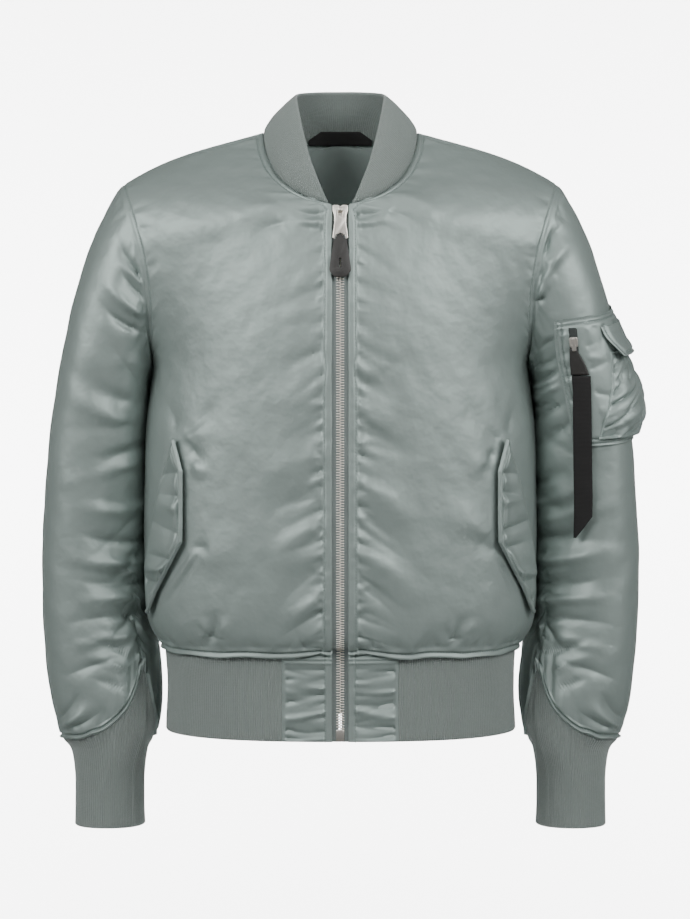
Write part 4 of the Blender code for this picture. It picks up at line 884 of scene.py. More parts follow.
class SatinNylon(Finish):
    """Tightly woven filament nylon: broad soft highlights that slide along each fold."""

    def dress(self, tree: Tree, shader: Node) -> None:
        """Adds slow shade changes, the sheen of long floats and a fine weave."""
        self.shade(tree, shader, noise_in(tree, 9.0, 3.0), 0.05)
        set_inputs(shader, {"Metallic": 0.50, "Specular IOR Level": 0.35,
                            "Specular Tint": (0.30, 0.33, 0.32, 1.0)})
        bump(tree, shader, noise_in(tree, 55.0), 0.0011)
        # Threads of 0.2 mm are too fine to show, so the weave is drawn at 0.7 mm.
        bump(tree, shader, noise_on(tree, (0.0007, 0.0016)), 0.00002)


class RibKnit(Finish):
    """Two-by-two rib of matt yarn: dry, heathered, with fine courses across each rib."""

    def dress(self, tree: Tree, shader: Node) -> None:
        """Adds the heather, the yarn's fuzz and the courses."""
        heather = noise_on(tree, (0.0012, 0.004), Detail=4.0, Roughness=0.7)
        self.shade(tree, shader, heather, 0.22)
        set_inputs(shader, {"Specular IOR Level": 0.25, "Sheen Weight": 0.25, "Sheen Roughness": 0.6})
        bump(tree, shader, bands_on(tree, 0.0016, 0.3, 1.5), 0.00010)
        bump(tree, shader, heather, 0.00012)


class WovenTape(Finish):
    """Polyester tape: matt, with a fine rib across it."""

    def dress(self, tree: Tree, shader: Node) -> None:
        """Adds the cross ribs and a little shade change."""
        ribs = bands_on(tree, 0.0014, 0.32, 0.6)
        self.shade(tree, shader, ribs, 0.12)
        bump(tree, shader, ribs, 0.00012)


class ThinSatin(Finish):
    """Plain filament lining: thinner and smoother than the shell, with a soft gloss."""

    def dress(self, tree: Tree, shader: Node) -> None:
        """Adds slow shade changes and the faint weave."""
        self.shade(tree, shader, noise_in(tree, 14.0), 0.08)
        bump(tree, shader, noise_on(tree, (0.0006, 0.0012)), 0.00002)


class GrainLeather(Finish):
    """Pigmented cowhide: a fine pebble that catches small soft highlights."""

    def dress(self, tree: Tree, shader: Node) -> None:
        """Adds the grain and drier spots."""
        place = add_node(tree, "TexCoord").outputs["Object"]
        grain = add_node(tree, "TexVoronoi", {"Vector": place, "Scale": 1400.0}).outputs[0]
        self.shade(tree, shader, noise_in(tree, 220.0, 4.0), 0.35)
        bump(tree, shader, grain, 0.00008)


class PolishedNickel(Finish):
    """Nickel plate over cast zinc: bright and warm, with faint handling marks."""

    def dress(self, tree: Tree, shader: Node) -> None:
        """Adds the metal and uneven polish."""
        set_inputs(shader, {"Metallic": 1.0})
        polish = add_node(tree, "MapRange", {0: noise_in(tree, 500.0), 3: self.roughness - 0.03,
                                             4: self.roughness + 0.05})
        tree.links.new(polish.outputs[0], shader.inputs["Roughness"])


class SpunThread(Finish):
    """Polyester sewing thread, two plies with a faint gloss."""

    def dress(self, tree: Tree, shader: Node) -> None:
        """Adds the change of shade from stitch to stitch."""
        self.shade(tree, shader, noise_in(tree, 700.0), 0.15)


class StudioPaper(Finish):
    """Seamless background paper, quite matt."""

    def dress(self, tree: Tree, shader: Node) -> None:
        """Adds the paper's slight unevenness."""
        self.shade(tree, shader, noise_in(tree, 1.2), 0.004)
        set_inputs(shader, {"Specular IOR Level": 0.1})


SHELL = SatinNylon("satin nylon shell", "8a9692", 0.50)
# The lining's colour is painted lighter than the shell's satin, its own cloth, as painted light inside the
# neck where the lamps reach little.
LINING = ThinSatin("thin satin lining", "9eaba7", 0.42)
RIB = RibKnit("rib knit", "6e7773", 0.92)
TAPE = WovenTape("woven zip tape", "757e7c", 0.82)
RIBBON_TAPE = WovenTape("black grosgrain ribbon", "0b0a0a", 0.80)
# Painted shade: the sleeve zip shows only as a shaded slit under its welt, so its tape is coloured near
# black.
SLIT_SHADE_TAPE = WovenTape("zip tape painted dark as slit shade", "2a302e", 0.85)
LEATHER = GrainLeather("black leather", "22211f", 0.50)
NICKEL = PolishedNickel("polished nickel", "ece7de", 0.34)
THREAD = SpunThread("sewing thread", "76837f", 0.55)
PAPER = StudioPaper("studio paper", "f4f4f4", 0.95)


# ---------------------------------------------------------------- meshes
def new_object(name: str, data: bpy.types.ID) -> Object:
    """An object for a mesh, lamp or camera, linked to the scene."""
    obj = bpy.data.objects.new(name, data)
    bpy.context.scene.collection.objects.link(obj)
    return obj


def edit_mesh(mesh: Mesh, change: Callable[[Builder], Any]) -> None:
    """Edits a mesh in place."""
    builder = bmesh.new()
    builder.from_mesh(mesh)
    change(builder)
    builder.to_mesh(mesh)
    builder.free()


def face_outward(builder: Builder) -> None:
    """Turns every face of a closed mesh outward."""
    bmesh.ops.recalc_face_normals(builder, faces=builder.faces)


def new_piece(name: str, vertices: Array, faces: list[list[int]], finishes: Sequence[Finish],
              slots: Optional[Sequence[int]] = None, places: Optional[Array] = None,
              sharp_deg: float = 50.0) -> Object:
    """Makes a smooth-shaded piece of loose geometry.

    Args:
        name: Name of the piece.
        vertices: Its points.
        faces: Point numbers of each face.
        finishes: Its finishes, by slot.
        slots: Slot of each face.
        places: Place on the cloth of each face corner, in metres.
        sharp_deg: Edges that turn more than this stay sharp.

    Returns:
        The new object.
    """
    mesh = bpy.data.meshes.new(name)
    mesh.from_pydata(vertices.tolist(), [], faces)
    if places is not None:
        mesh.uv_layers.new(name="cloth").data.foreach_set("uv", np.asarray(places, np.float32).ravel())
    for finish in finishes:
        mesh.materials.append(finish.material())
    if slots is not None:
        mesh.polygons.foreach_set("material_index", np.asarray(slots, np.int32))
    edit_mesh(mesh, face_outward)
    mesh.shade_smooth()
    mesh.set_sharp_from_angle(angle=math.radians(sharp_deg))
    return new_object(name, mesh)


def cloth_wall(name: str, lay: Lay, outer: Array, inner: Array, finishes: Sequence[Finish],
               stride: tuple[int, int] = (4, 4), parting: Optional[tuple[int, int]] = None
               ) -> Object:
    """Closed wall of cloth between a fine outer grid and a plainer inner one.

    Args:
        name: Name of the piece.
        lay: Its lay, for the place of each point on the cloth.
        outer: Outer points.
        inner: Inner points, of which every stride-th row and column is used.
        finishes: The outer finish and the inner one.
        stride: Steps of the inner grid, by rows and by columns.
        parting: Column that is followed by its own copy, and the row above which the two part.

    Returns:
        The new object.
    """
    rows, columns = outer.shape[:2]
    step_r, step_c = stride
    closed = lay.closed
    first, foot = lay.first, lay.foot
    if closed:
        turn = first[:, -1:] + np.linalg.norm(lay.points[:, :1] - lay.points[:, -1:], axis=-1)
        first, foot = np.hstack([first, turn]), np.hstack([foot, foot[:, :1]])
    place = np.stack([first, foot], axis=-1)
    ins = inner[::step_r, ::step_c]
    faces, slots, places = [], [], []

    def add(corners: list[tuple[int, int, bool]], slot: int = 0) -> None:
        """Adds a face by the row, the column and the side, outer or not, of its corners."""
        faces.append([r * columns + c % columns if is_out else
                      rows * columns + r // step_r * ins.shape[1] + c // step_c % ins.shape[1]
                      for r, c, is_out in corners])
        slots.append(slot)
        places.extend(place[r, c] for r, c, _ in corners)

    last = columns if closed else columns - 1
    gap, neck_row = parting or (-1, rows)
    for row in range(rows - 1):
        for c in range(last):
            if c != gap:
                add([(row, c, True), (row, c + 1, True), (row + 1, c + 1, True), (row + 1, c, True)])
    blocks = [c for c in range(0, last, step_c) if c != gap]
    for row in range(0, rows - 1, step_r):
        for c in blocks:
            add([(row, c, False), (row + step_r, c, False), (row + step_r, c + step_c, False),
                 (row, c + step_c, False)], 1)
    for row in (0, rows - 1):
        for c in blocks:
            rim = [(row, c + k, True) for k in range(step_c, -1, -1)]
            add([(row, c, False), (row, c + step_c, False), *rim])
    for column, begin in ((0, 0), (last, 0), (gap, neck_row), (gap + 1, neck_row)):
        for row in range(begin, 0 if closed else rows - 1, step_r):
            rim = [(row + k, column, True) for k in range(step_r, -1, -1)]
            add([(row, column, False), (row + step_r, column, False), *rim])
    vertices = np.vstack([outer.reshape(-1, 3), ins.reshape(-1, 3)])
    piece = new_piece(name, vertices, faces, finishes, slots, np.array(places))
    if parting:
        edit_mesh(piece.data, join_middle)
    return piece


def join_middle(builder: Builder) -> None:
    """Joins the two halves of a mesh where they meet on the middle line."""
    seam = [vertex for vertex in builder.verts if abs(vertex.co.x) < MERGE]
    bmesh.ops.remove_doubles(builder, verts=seam, dist=MERGE)
    face_outward(builder)


def rounded(edge_way: Array, wall: float) -> Array:
    """How far both faces of a wall draw together near a free edge, so that it is rolled, not cut."""
    half = wall / 2
    part = np.clip(1 - edge_way / half, 0.0, 1.0)
    return half * (1 - np.sqrt(np.clip(1 - part**2, 0.02, 1.0)))


def rolled(lay: Lay, height: Array, edge_way: Array, wall: float) -> tuple[Array, Array]:
    """Outer and inner points of a wall whose free edge is rolled and whose inner face is plain."""
    roll = rounded(edge_way, wall)
    return lay.raised(height - roll), lay.raised(roll - wall)


def settle(piece: Object, nodes: Sequence[str], body: str = JACKET) -> Object:
    """Puts a finished piece on its body and in the place of its solids."""
    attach(piece, body)
    if nodes:
        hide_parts(*nodes)
    LOG.info("%s: %d triangles", piece.name, sum(len(face.vertices) - 2 for face in piece.data.polygons))
    return piece


def sew(name: str, node: str, lay: Lay, faces: tuple[Array, Array], finishes: Sequence[Finish], slot: Slot,
        held: str, rests_on: Sequence[str], side: Side = Side.LEFT, scale: float = 1.0,
        **shape: tuple[int, int]) -> Object:
    """Makes a cloth piece, puts it on the jacket and hides the solid that it stands for.

    Args:
        name: Name of the piece.
        node: The solid that it stands for.
        lay: Its lay.
        faces: Outer and inner points, on the left side.
        finishes: The outer finish and the inner one.
        slot: Its material slot; not used.
        held: How the cloth is held; not used.
        rests_on: What it rests on or is sewn to; not used.
        side: The side to put it on.
        scale: Cloth in it for each part that the smooth lay shows; not used.
        shape: The stride and the parting of its wall.

    Returns:
        The finished piece.
    """
    outer, inner = (side.turned(points) for points in faces)
    piece = cloth_wall(name, lay, outer, inner, finishes, **shape)
    return settle(piece, [node])


# ---------------------------------------------------------------- sewing
def level_line(grid: Array, way: Array, at: float) -> Array:
    """Values of a grid along the line where the way from one of its edges is reached."""
    across = abs(float(way[0, -1] - way[0, 0])) > abs(float(way[-1, 0] - way[0, 0]))
    if not across:
        grid, way = np.swapaxes(grid, 0, 1), way.T
    if way[0, -1] < way[0, 0]:
        grid, way = grid[:, ::-1], way[:, ::-1]
    return np.array([[np.interp(at, places, values[:, k]) for k in range(3)]
                     for places, values in zip(way, grid)])


@dataclass
class Topstitching:
    """Rows of lockstitches: one small spindle of thread to each stitch."""

    pitch: float = 0.0032
    length: float = 0.0025
    thickness: float = 0.0009
    proud: float = 0.15           # share of the thickness by which a stitch stands out
    centres: list[Array] = field(default_factory=list)
    axes: list[Array] = field(default_factory=list)

    def row(self, raised: Array, lay: Lay, way: Array, at: float, side: Side = Side.LEFT,
            low: float = -math.inf, high: float = math.inf) -> None:
        """Adds a row along a piece's edge.

        Args:
            raised: The piece's outer points.
            lay: Its lay.
            way: Each point's distance from the edge.
            at: Distance of the row from the edge.
            side: The side to put it on, for a piece worked out on the left.
            low: Height where the row begins.
            high: Height where it ends.
        """
        line, normals = level_line(raised, way, at), level_line(lay.normals, way, at)
        kept = (line[:, 2] > low) & (line[:, 2] < high)
        line, normals = line[kept], normals[kept]
        run = run_of(line)
        places = np.arange(self.pitch / 2, run[-1], self.pitch)
        centres, normals = read_at(places, run, line), unit(read_at(places, run, normals))
        along = unit(np.gradient(centres, axis=0))
        normals = unit(normals - along * (normals * along).sum(axis=-1, keepdims=True))
        self.centres.append(side.turned(centres + normals * self.thickness * self.proud))
        self.axes.append(side.turned(np.stack([along, np.cross(normals, along), normals], axis=1)))

    def build(self) -> Object:
        """All rows in one piece."""
        clear_selection()
        bpy.ops.mesh.primitive_uv_sphere_add(segments=6, ring_count=4, radius=0.5)
        stitch = bpy.context.active_object
        for vertex in stitch.data.vertices:
            x, y, z = vertex.co
            vertex.co = [z * self.length, x * self.thickness, y * self.thickness]
        piece = copies(stitch, "topstitching", THREAD, np.vstack(self.centres), np.vstack(self.axes))
        return settle(piece, [])


# ---------------------------------------------------------------- torso
# Folds by distance from the jacket's middle and height, in mm; see Fold.
NECK_FOLDS = fold_table(
    (20, -88, 52, -80, 4.2, -3, -4, 1.15), (20, -96, 58, -88, 4.5, 2.6, -4),
    (20, -103, 50, -98, 4.2, -2.4, -3, 1.15),
)
RIGHT_FRONT_FOLDS = NECK_FOLDS + fold_table(
    (154, -446, 197, -512, 2.2, 2.2), (150, -449, 193, -515, 1.8, -2),
    (60, -98, 100, -120, 8, -2.4, 4, 1.2), (70, -80, 118, -93, 7, 1.8, 3),
    (20, -262, 74, -300, 12, 2.4, -6), (20, -340, 100, -362, 14, 3, -4),
    (22, -378, 90, -418, 13, -2.7, 6, 1.2), (22, -415, 78, -468, 11, 3, 6),
    (22, -462, 70, -512, 10, -2.4, 5, 1.2), (22, -492, 60, -530, 9, 2.7, 3),
    (168, -322, 118, -262, 12, -3.3, 6, 1.2), (176, -316, 190, -280, 9, -3, 2, 1.2),
    (158, -334, 140, -355, 6, -3.9, 2, 1.2), (154, -350, 138, -368, 6, 2.7, 2),
    (166, -324, 132, -300, 10, 2.7, 4), (152, -440, 136, -436, 5, -3.3, 1, 1.2),
    (150, -452, 90, -420, 18, 2.4, 6), (138, -540, 132, -500, 5.5, -5, 2, 1.15),
    (139, -540, 156, -516, 4.5, -3.6, 2, 1.15), (137, -540, 118, -520, 4.5, -3.2, 2, 1.15),
    (145, -536, 146, -512, 5, 3.2, 2), (128, -536, 122, -508, 5.5, 3.4, 2),
)
LEFT_FRONT_FOLDS = NECK_FOLDS + fold_table(
    (170, -449, 201, -512, 2.2, 2.2), (167, -453, 198, -516, 1.8, -2),
    (50, -85, 92, -108, 8, -2.7, 4, 1.2), (60, -70, 110, -88, 7, 2.1, 3),
    (22, -266, 70, -280, 12, -3, 4, 1.2), (40, -262, 85, -232, 13, -1.8, 3, 1.2),
    (22, -286, 60, -312, 12, 2.1, 4), (22, -332, 85, -345, 16, -3.3, 3, 1.2),
    (22, -372, 85, -432, 12, 3.3, 8), (22, -408, 82, -462, 12, -2.7, 7, 1.2),
    (22, -440, 85, -505, 12, 3.3, 8), (22, -480, 70, -528, 10, -2.7, 5, 1.2),
    (172, -330, 126, -268, 12, -3.3, 6, 1.2), (180, -322, 190, -285, 9, -3, 2, 1.2),
    (162, -338, 146, -365, 6, -3.9, 2, 1.2), (160, -350, 130, -345, 9, 2.7, 3),
    (158, -430, 110, -378, 12, 3, 4), (166, -446, 132, -412, 10, -2.7, 3, 1.2),
    (119, -540, 136, -504, 5.5, -5, 2, 1.15), (119, -540, 112, -512, 4.5, -3.6, 2, 1.15),
    (121, -541, 148, -526, 4.5, -3.2, 2, 1.15), (118, -537, 124, -510, 5, 3.2, 2),
    (130, -537, 146, -516, 5, 3, 2),
)
BACK_FOLDS = fold_table(
    (-130, -110, 110, -140, 24, 2.2, 12), (-170, -235, -60, -310, 18, -3, 10),
    (-185, -285, -90, -350, 14, 2.4, 8), (170, -230, 70, -330, 18, -2.8, -10),
    (185, -290, 100, -360, 14, 2.4, -8), (-130, -420, 40, -450, 22, 2.4, 10),
    (150, -460, 10, -505, 18, -2.4, -8), (-160, -490, -40, -515, 14, -2.2, 6),
    (60, -385, 160, -400, 18, 1.8, 6),
)


def welt(away: Array) -> Array:
    """The rolled, topstitched edge where the shell meets a rib."""
    band = 0.0020 * smooth_step(away, 0.0002, 0.0018) * (1 - smooth_step(away, 0.0034, 0.0046))
    return band - 0.0019 * ridge(away, 0.0052, 0.0011) - 0.0010 * ridge(away, 0.0, 0.0012)


@dataclass
class FrontPanel:
    """One front: satin over light padding, gathered to the zip, the neck, the armhole and the waistband."""

    side: Side
    folds: Sequence[Fold]
    thread: Topstitching
    seed: int
    rows: int = 288
    columns: int = 168
    placket: float = 0.0080       # from the front edge to its topstitching
    hem_sag: float = 0.0042       # how far the padded shell rolls over the rib
    calm: float = 0.14            # length under the neck where the puckers at the zip are weaker

    def lay(self) -> Lay:
        """The front's fine grid on the left side."""
        coarse = panel_grid(True)
        fine = resampled(coarse, graded(len(coarse) - 1, self.rows, 0.35),
                         graded(coarse.shape[1] - 1, self.columns, 0.45), corners=[NECK_ROW])
        return Lay(relaxed(fine, 60), from_torso_axis)

    def relief(self, lay: Lay, neck_start: float) -> Array:
        """Height of folds, gathers and seams, given the way up the front edge to the neck."""
        edge, first, last, foot, seed = lay.first_edge, lay.first, lay.last, lay.foot, self.seed
        waist_end = lay.way_up(-1, UNDERARM_Z)
        on_neck = smooth_step(edge, neck_start, neck_start + 0.012)
        on_arm = smooth_step(lay.last_edge, waist_end, waist_end + 0.01)
        broad = Gathers(0.0130, 0.0042, 0.036, 0.0028, 0.30, seed, self.placket)
        small = Gathers(0.0064, 0.0021, 0.012, 0.0026, 0.35, seed + 1, self.placket)
        strip = Gathers(0.0050, 0.0014, 0.010, 0.00045, 0.2, seed + 2)
        by_neck = Gathers(0.016, 0.0040, 0.020, 0.0014, 0.5, seed + 3, SEAM_GRIP)
        by_arm = Gathers(0.012, 0.0030, 0.016, 0.0015, 0.4, seed + 4, SEAM_GRIP)
        by_hem = Gathers(0.017, 0.0040, 0.022, 0.0026, 0.6, seed + 5, SEAM_GRIP)
        height = folds_relief(lay.points, self.folds)
        height += broad.relief(edge, first, 0.0, neck_start - self.calm, tilt=-0.55)
        height += 0.6 * broad.relief(edge, first, neck_start - self.calm, neck_start, tilt=-0.15)
        height += small.relief(edge, first, 0.0, neck_start, tilt=-0.2)
        height += strip.relief(edge, first, 0.0, neck_start) * smooth_step(self.placket - first, 0, 0.002)
        height += on_neck * by_neck.relief(edge, first, neck_start)
        height += on_arm * by_arm.relief(lay.last_edge, last, waist_end)
        height += by_hem.relief(lay.foot_edge, foot, 0.02)
        height += 0.0008 * noise(first / 0.05, foot / 0.07, seed + 6)
        height += 0.0007 * noise(first / 0.020, foot / 0.026 + first / 0.06, seed + 7)
        height *= smooth_step(np.minimum(last, lay.top), 0.0, 0.006)
        height += Seam(stitch=SEAM_STITCH).relief(last) * np.maximum(on_arm, 0.5)
        height += Seam(0.0012, 0.003, SEAM_STITCH).relief(lay.top) + welt(foot)
        height -= 0.0011 * ridge(first, self.placket, 0.0013) * (1 - on_neck)
        return height + on_neck * Seam(0.0016, 0.002, NECK_STITCH, 0.0012).relief(first)

    def build(self) -> Object:
        """The finished front."""
        lay = self.lay()
        neck_start = lay.way_up(0, ZIP_TOP_Z)
        height = self.relief(lay, neck_start)
        by_zip = 1 - smooth_step(lay.first_edge, neck_start, neck_start + 0.006)
        roll = rounded(lay.first, SHELL_WALL) * by_zip
        sag = self.hem_sag * (0.6 + noise(lay.foot_edge / 0.045, 0 * lay.foot, self.seed + 8))
        by_hem = 1 - smooth_step(lay.foot, 0.002, 0.012)
        by_hem *= smooth_step(lay.first, 0.01, 0.05) * smooth_step(lay.last, 0.0, 0.03)
        raised = lay.raised(height - roll + 0.5 * self.hem_sag * by_hem)
        raised[..., 2] -= sag * by_hem
        for way, at, low, high in ((lay.first, self.placket, -math.inf, ZIP_TOP_Z),
                                   (lay.first, NECK_STITCH, ZIP_TOP_Z, math.inf),
                                   (lay.last, SEAM_STITCH, UNDERARM_Z, math.inf),
                                   (lay.foot, WELT_STITCH, -math.inf, math.inf)):
            self.thread.row(raised, lay, way, at, self.side, low, high)
        inner = lay.raised(np.minimum(height, 0.0) - SHELL_WALL + roll)
        word = self.side.word
        return sew(f"front_{word}_shell", f"front_{word}", lay, (raised, inner), (SHELL, LINING),
                   Slot.SATIN, "hung", ["collar", "hem_rib", f"sleeve_{word}"], self.side)


@dataclass
class BackPanel:
    """The back in one piece, with the lining that shows inside the neck."""

    thread: Topstitching
    rows: int = 156
    columns: int = 80
    seed: int = 31
    rounds: int = 40              # of smoothing
    lining_from: float = 0.55     # share of the rows below the lining's foot
    lining_step: int = 2          # columns of the back to one of the lining

    def build(self) -> list[Object]:
        """The back and its lining."""
        coarse = panel_grid(False)
        places = graded(len(coarse) - 1, self.rows, 0.35)
        neck_row = int(np.argmin(np.abs(places - BACK_NECK_ROW)))
        places[neck_row] = BACK_NECK_ROW
        half = resampled(coarse, places, graded(coarse.shape[1] - 1, self.columns, 0.0),
                         corners=[BACK_NECK_ROW])
        half = self.smoothed(half, neck_row)
        return [self.shell(half, neck_row), self.lining(half, neck_row)]

    def smoothed(self, half: Array, neck_row: int) -> Array:
        """The left half with its inner points relaxed and its neckline kept."""
        half[:neck_row + 1, 0, 0] = 0.0
        neckline = half[neck_row:, 0].copy()
        for _ in range(self.rounds):
            wide = np.concatenate([Side.RIGHT.turned(half[:, 1:2]), half], axis=1)
            half[1:-1, :-1] = (wide[:-2, 1:-1] + wide[2:, 1:-1] + wide[1:-1, :-2] + wide[1:-1, 2:]) / 4
            half[neck_row:, 0] = neckline
        return half

    @staticmethod
    def both_halves(half: Array, neck_row: int) -> Lay:
        """Lay of the whole back, with its middle column twice so that it parts above the neck row."""
        lay = Lay(np.concatenate([Side.RIGHT.turned(half)[:, ::-1], half], axis=1), from_torso_axis)
        middle = half.shape[1] - 1
        lay.normals[:neck_row + 1, middle:middle + 2, 0] = 0.0
        lay.normals = unit(lay.normals)
        return lay

    def shell(self, half: Array, neck_row: int) -> Object:
        """The shell, as a wall whose middle is open above the neck."""
        lay = self.both_halves(half, neck_row)
        middle = half.shape[1] - 1
        height = self.relief(lay, neck_row, middle)
        outer, inner = lay.raised(height), lay.raised(np.minimum(height, 0.0) - SHELL_WALL)
        for away in (lay.first, lay.last):
            self.thread.row(outer, lay, away, SEAM_STITCH, low=UNDERARM_Z)
        self.thread.row(outer, lay, lay.foot, WELT_STITCH)
        return sew("back_shell", "back", lay, (outer, inner), (SHELL, LINING), Slot.SATIN, "hung",
                   ["collar", "hem_rib"], stride=(1, 1), parting=(middle, neck_row))

    def relief(self, lay: Lay, neck_row: int, middle: int) -> Array:
        """Height of folds, gathers and seams at each point."""
        height = folds_relief(lay.points, BACK_FOLDS)
        armhole = lay.way_up(-1, UNDERARM_Z)
        for edge, away, seed in ((lay.first_edge, lay.first, 1), (lay.last_edge, lay.last, 2)):
            by_arm = Gathers(0.014, 0.0035, 0.020, 0.0015, 0.4, self.seed + seed, SEAM_GRIP)
            height += smooth_step(edge, armhole, armhole + 0.01) * by_arm.relief(edge, away, armhole)
        height += Gathers(0.019, 0.0045, 0.024, 0.0018, 0.5, self.seed + 3, 0.004).relief(
            lay.foot_edge, lay.foot)
        turn, near_neck = self.round_neck(lay, neck_row, middle, 0.03)
        height += Gathers(0.10, 0.03, 0.05, 0.0012, 0.0, self.seed + 4).relief(turn, near_neck) * 0.6
        height += 0.0012 * noise(lay.first / 0.06, lay.foot / 0.09, self.seed + 6)
        height *= smooth_step(nearest(lay.first, lay.last, lay.top), 0.0, 0.006)
        for away in (lay.first, lay.last):
            height += Seam(stitch=SEAM_STITCH).relief(away)
        return height + Seam(0.0012, 0.003, SEAM_STITCH).relief(lay.top) + welt(lay.foot)

    @staticmethod
    def round_neck(lay: Lay, neck_row: int, middle: int, over: float) -> tuple[Array, Array]:
        """Angle of each point about a place over the neckline's foot, and its distance from that foot."""
        away = lay.points - lay.points[neck_row, middle]
        return np.arctan2(lay.points[..., 0], over - away[..., 2]), np.linalg.norm(away, axis=-1)

    def lining(self, half: Array, neck_row: int) -> Object:
        """The lining inside the upper back, gathered to the neck seam."""
        start = int(len(half) * self.lining_from)
        half, neck_row = half[start:, ::self.lining_step], neck_row - start
        middle = half.shape[1] - 1
        lay = self.both_halves(half, neck_row)
        gathers = Gathers(0.11, 0.030, 0.060, 0.0020, 0.0, self.seed + 8)
        height = gathers.relief(*self.round_neck(lay, neck_row, middle, 0.02))
        height = height - 0.0012 * (1 + noise(lay.first / 0.02, lay.foot / 0.05, self.seed + 9))
        height = np.minimum(height * smooth_step(lay.top, 0.004, 0.020), 0.0012) - SHELL_WALL - 0.0006
        faces = lay.raised(height), lay.raised(height - LINING_WALL)
        # Its finish is painted lighter than the cloth, as painted light where the lamps reach little inside
        # the neck.
        return sew("lining_back_satin", "lining_back", lay, faces, (LINING, LINING), Slot.LINING, "hung",
                   ["collar"], stride=(1, 1), parting=(middle, neck_row))


# ---------------------------------------------------------------- sleeves and cuffs
# Folds of a sleeve, seen from in front.
CUFF_FOLDS = fold_table(
    (306, -632, 276, -592, 6, -4, 3, 1.15), (298, -638, 262, -606, 5.5, 4, 3),
    (290, -640, 252, -616, 5, -4, 2, 1.15), (236, -596, 272, -584, 3.6, -3.4, 2, 1.15),
    (230, -578, 280, -560, 4, 3.4, 3), (226, -560, 286, -540, 4.2, -3.8, 3, 1.15),
)
RIGHT_SLEEVE_FOLDS = CUFF_FOLDS + fold_table(
    (208, -160, 240, -106, 4.9, -8.4, -4, 1.15), (206, -165, 232, -132, 3.6, 4.7, -3),
    (208, -178, 236, -142, 3.9, -6.6, -3, 1.15), (210, -196, 256, -150, 5.7, 5.5, -4),
    (212, -214, 262, -172, 4.6, -6.2, -6, 1.15), (222, -290, 290, -245, 9.4, -3.2, -6),
    (228, -312, 300, -262, 8.6, 3.2, -6), (214, -334, 272, -352, 5.6, -3.8, -4),
    (212, -402, 300, -392, 7.9, 3.8, -8), (214, -440, 296, -420, 5.3, -4.9, -7, 1.15),
    (216, -462, 306, -450, 6.2, 4.1, -6), (214, -486, 300, -472, 5, -4.6, -5, 1.15),
    (216, -504, 290, -505, 5.6, 4.1, 4), (220, -520, 306, -530, 5, -4.3, 4, 1.15),
    (222, -542, 300, -556, 5.6, 3.8, 4), (240, -566, 306, -590, 5, -4.1, 4, 1.15),
)
LEFT_SLEEVE_FOLDS = CUFF_FOLDS + fold_table(
    (206, -148, 246, -92, 6.4, -9.4, 5, 1.15), (214, -162, 252, -110, 5.7, 5.9, 4),
    (204, -162, 232, -138, 3.2, -6.7, 2, 1.15), (206, -182, 230, -152, 3.9, 5.1, 2),
    (206, -182, 220, -176, 2.9, -6.7, 0, 1.15), (226, -222, 206, -242, 3.8, -4.6, -2, 1.15),
    (229, -256, 206, -280, 4, -5, -2, 1.15), (232, -272, 208, -296, 3.8, 3.6, -2),
    (235, -292, 207, -318, 4, -5, -3, 1.15), (240, -316, 208, -350, 4.6, -4.4, -3, 1.15),
    (212, -250, 236, -236, 3.7, -4.3, -2, 1.15), (212, -274, 236, -256, 3.7, 4.1, -2),
    (212, -294, 238, -282, 3.4, -4.1, -2, 1.15), (212, -378, 246, -350, 5.6, -3.5, -4),
    (212, -402, 256, -372, 5.6, 3.8, -4), (214, -438, 296, -398, 6.2, -4.6, -8, 1.15),
    (216, -462, 306, -432, 6.2, 4.1, -6), (214, -486, 300, -470, 5, -4.6, -5, 1.15),
    (216, -506, 306, -500, 5.6, 4.1, 4), (220, -522, 306, -532, 5, -4.3, 4, 1.15),
    (222, -544, 300, -560, 5.6, 3.8, 4), (240, -570, 306, -594, 5, -4.1, 4, 1.15),
)
# The same on the hidden half of both sleeves.
SLEEVE_BACK_FOLDS = fold_table(
    (214, -190, 262, -120, 5.6, -5.4, -5, 1.15), (218, -222, 276, -150, 5.6, 4.1, -5),
    (220, -300, 290, -250, 8.6, -3.5, -6), (222, -398, 304, -350, 7.9, -4.9, -8, 1.15),
    (220, -430, 312, -385, 6.2, 4.1, -8), (218, -452, 314, -430, 5.6, -4.6, -6, 1.15),
    (220, -478, 310, -470, 6.2, 4.1, -4), (228, -515, 308, -530, 5.6, -4.3, 4, 1.15),
)
GUSSET_DEG = 135.0             # angle of the gusset's point and of the seam that runs up from it


class Fan(NamedTuple):
    """Puckers that spread over a stretch of the sleeve from a line along it."""

    angle: float           # of the line, round the arm
    low: float             # depth below the neck where they begin and end
    high: float
    spacing: float
    width: float
    reach: float
    height: float
    tilt: float            # how far they drop for each metre out


FANS = [
    Fan(152, 0.190, 0.300, 0.022, 0.0050, 0.075, 0.0034, -0.35),
    Fan(152, 0.300, 0.400, 0.017, 0.0046, 0.095, 0.0044, 0.20),
    Fan(150, 0.390, 0.470, 0.013, 0.0040, 0.095, 0.0046, 0.30),
    Fan(GUSSET_DEG, 0.450, 0.560, 0.0095, 0.0030, 0.056, 0.0040, 0.10),
]


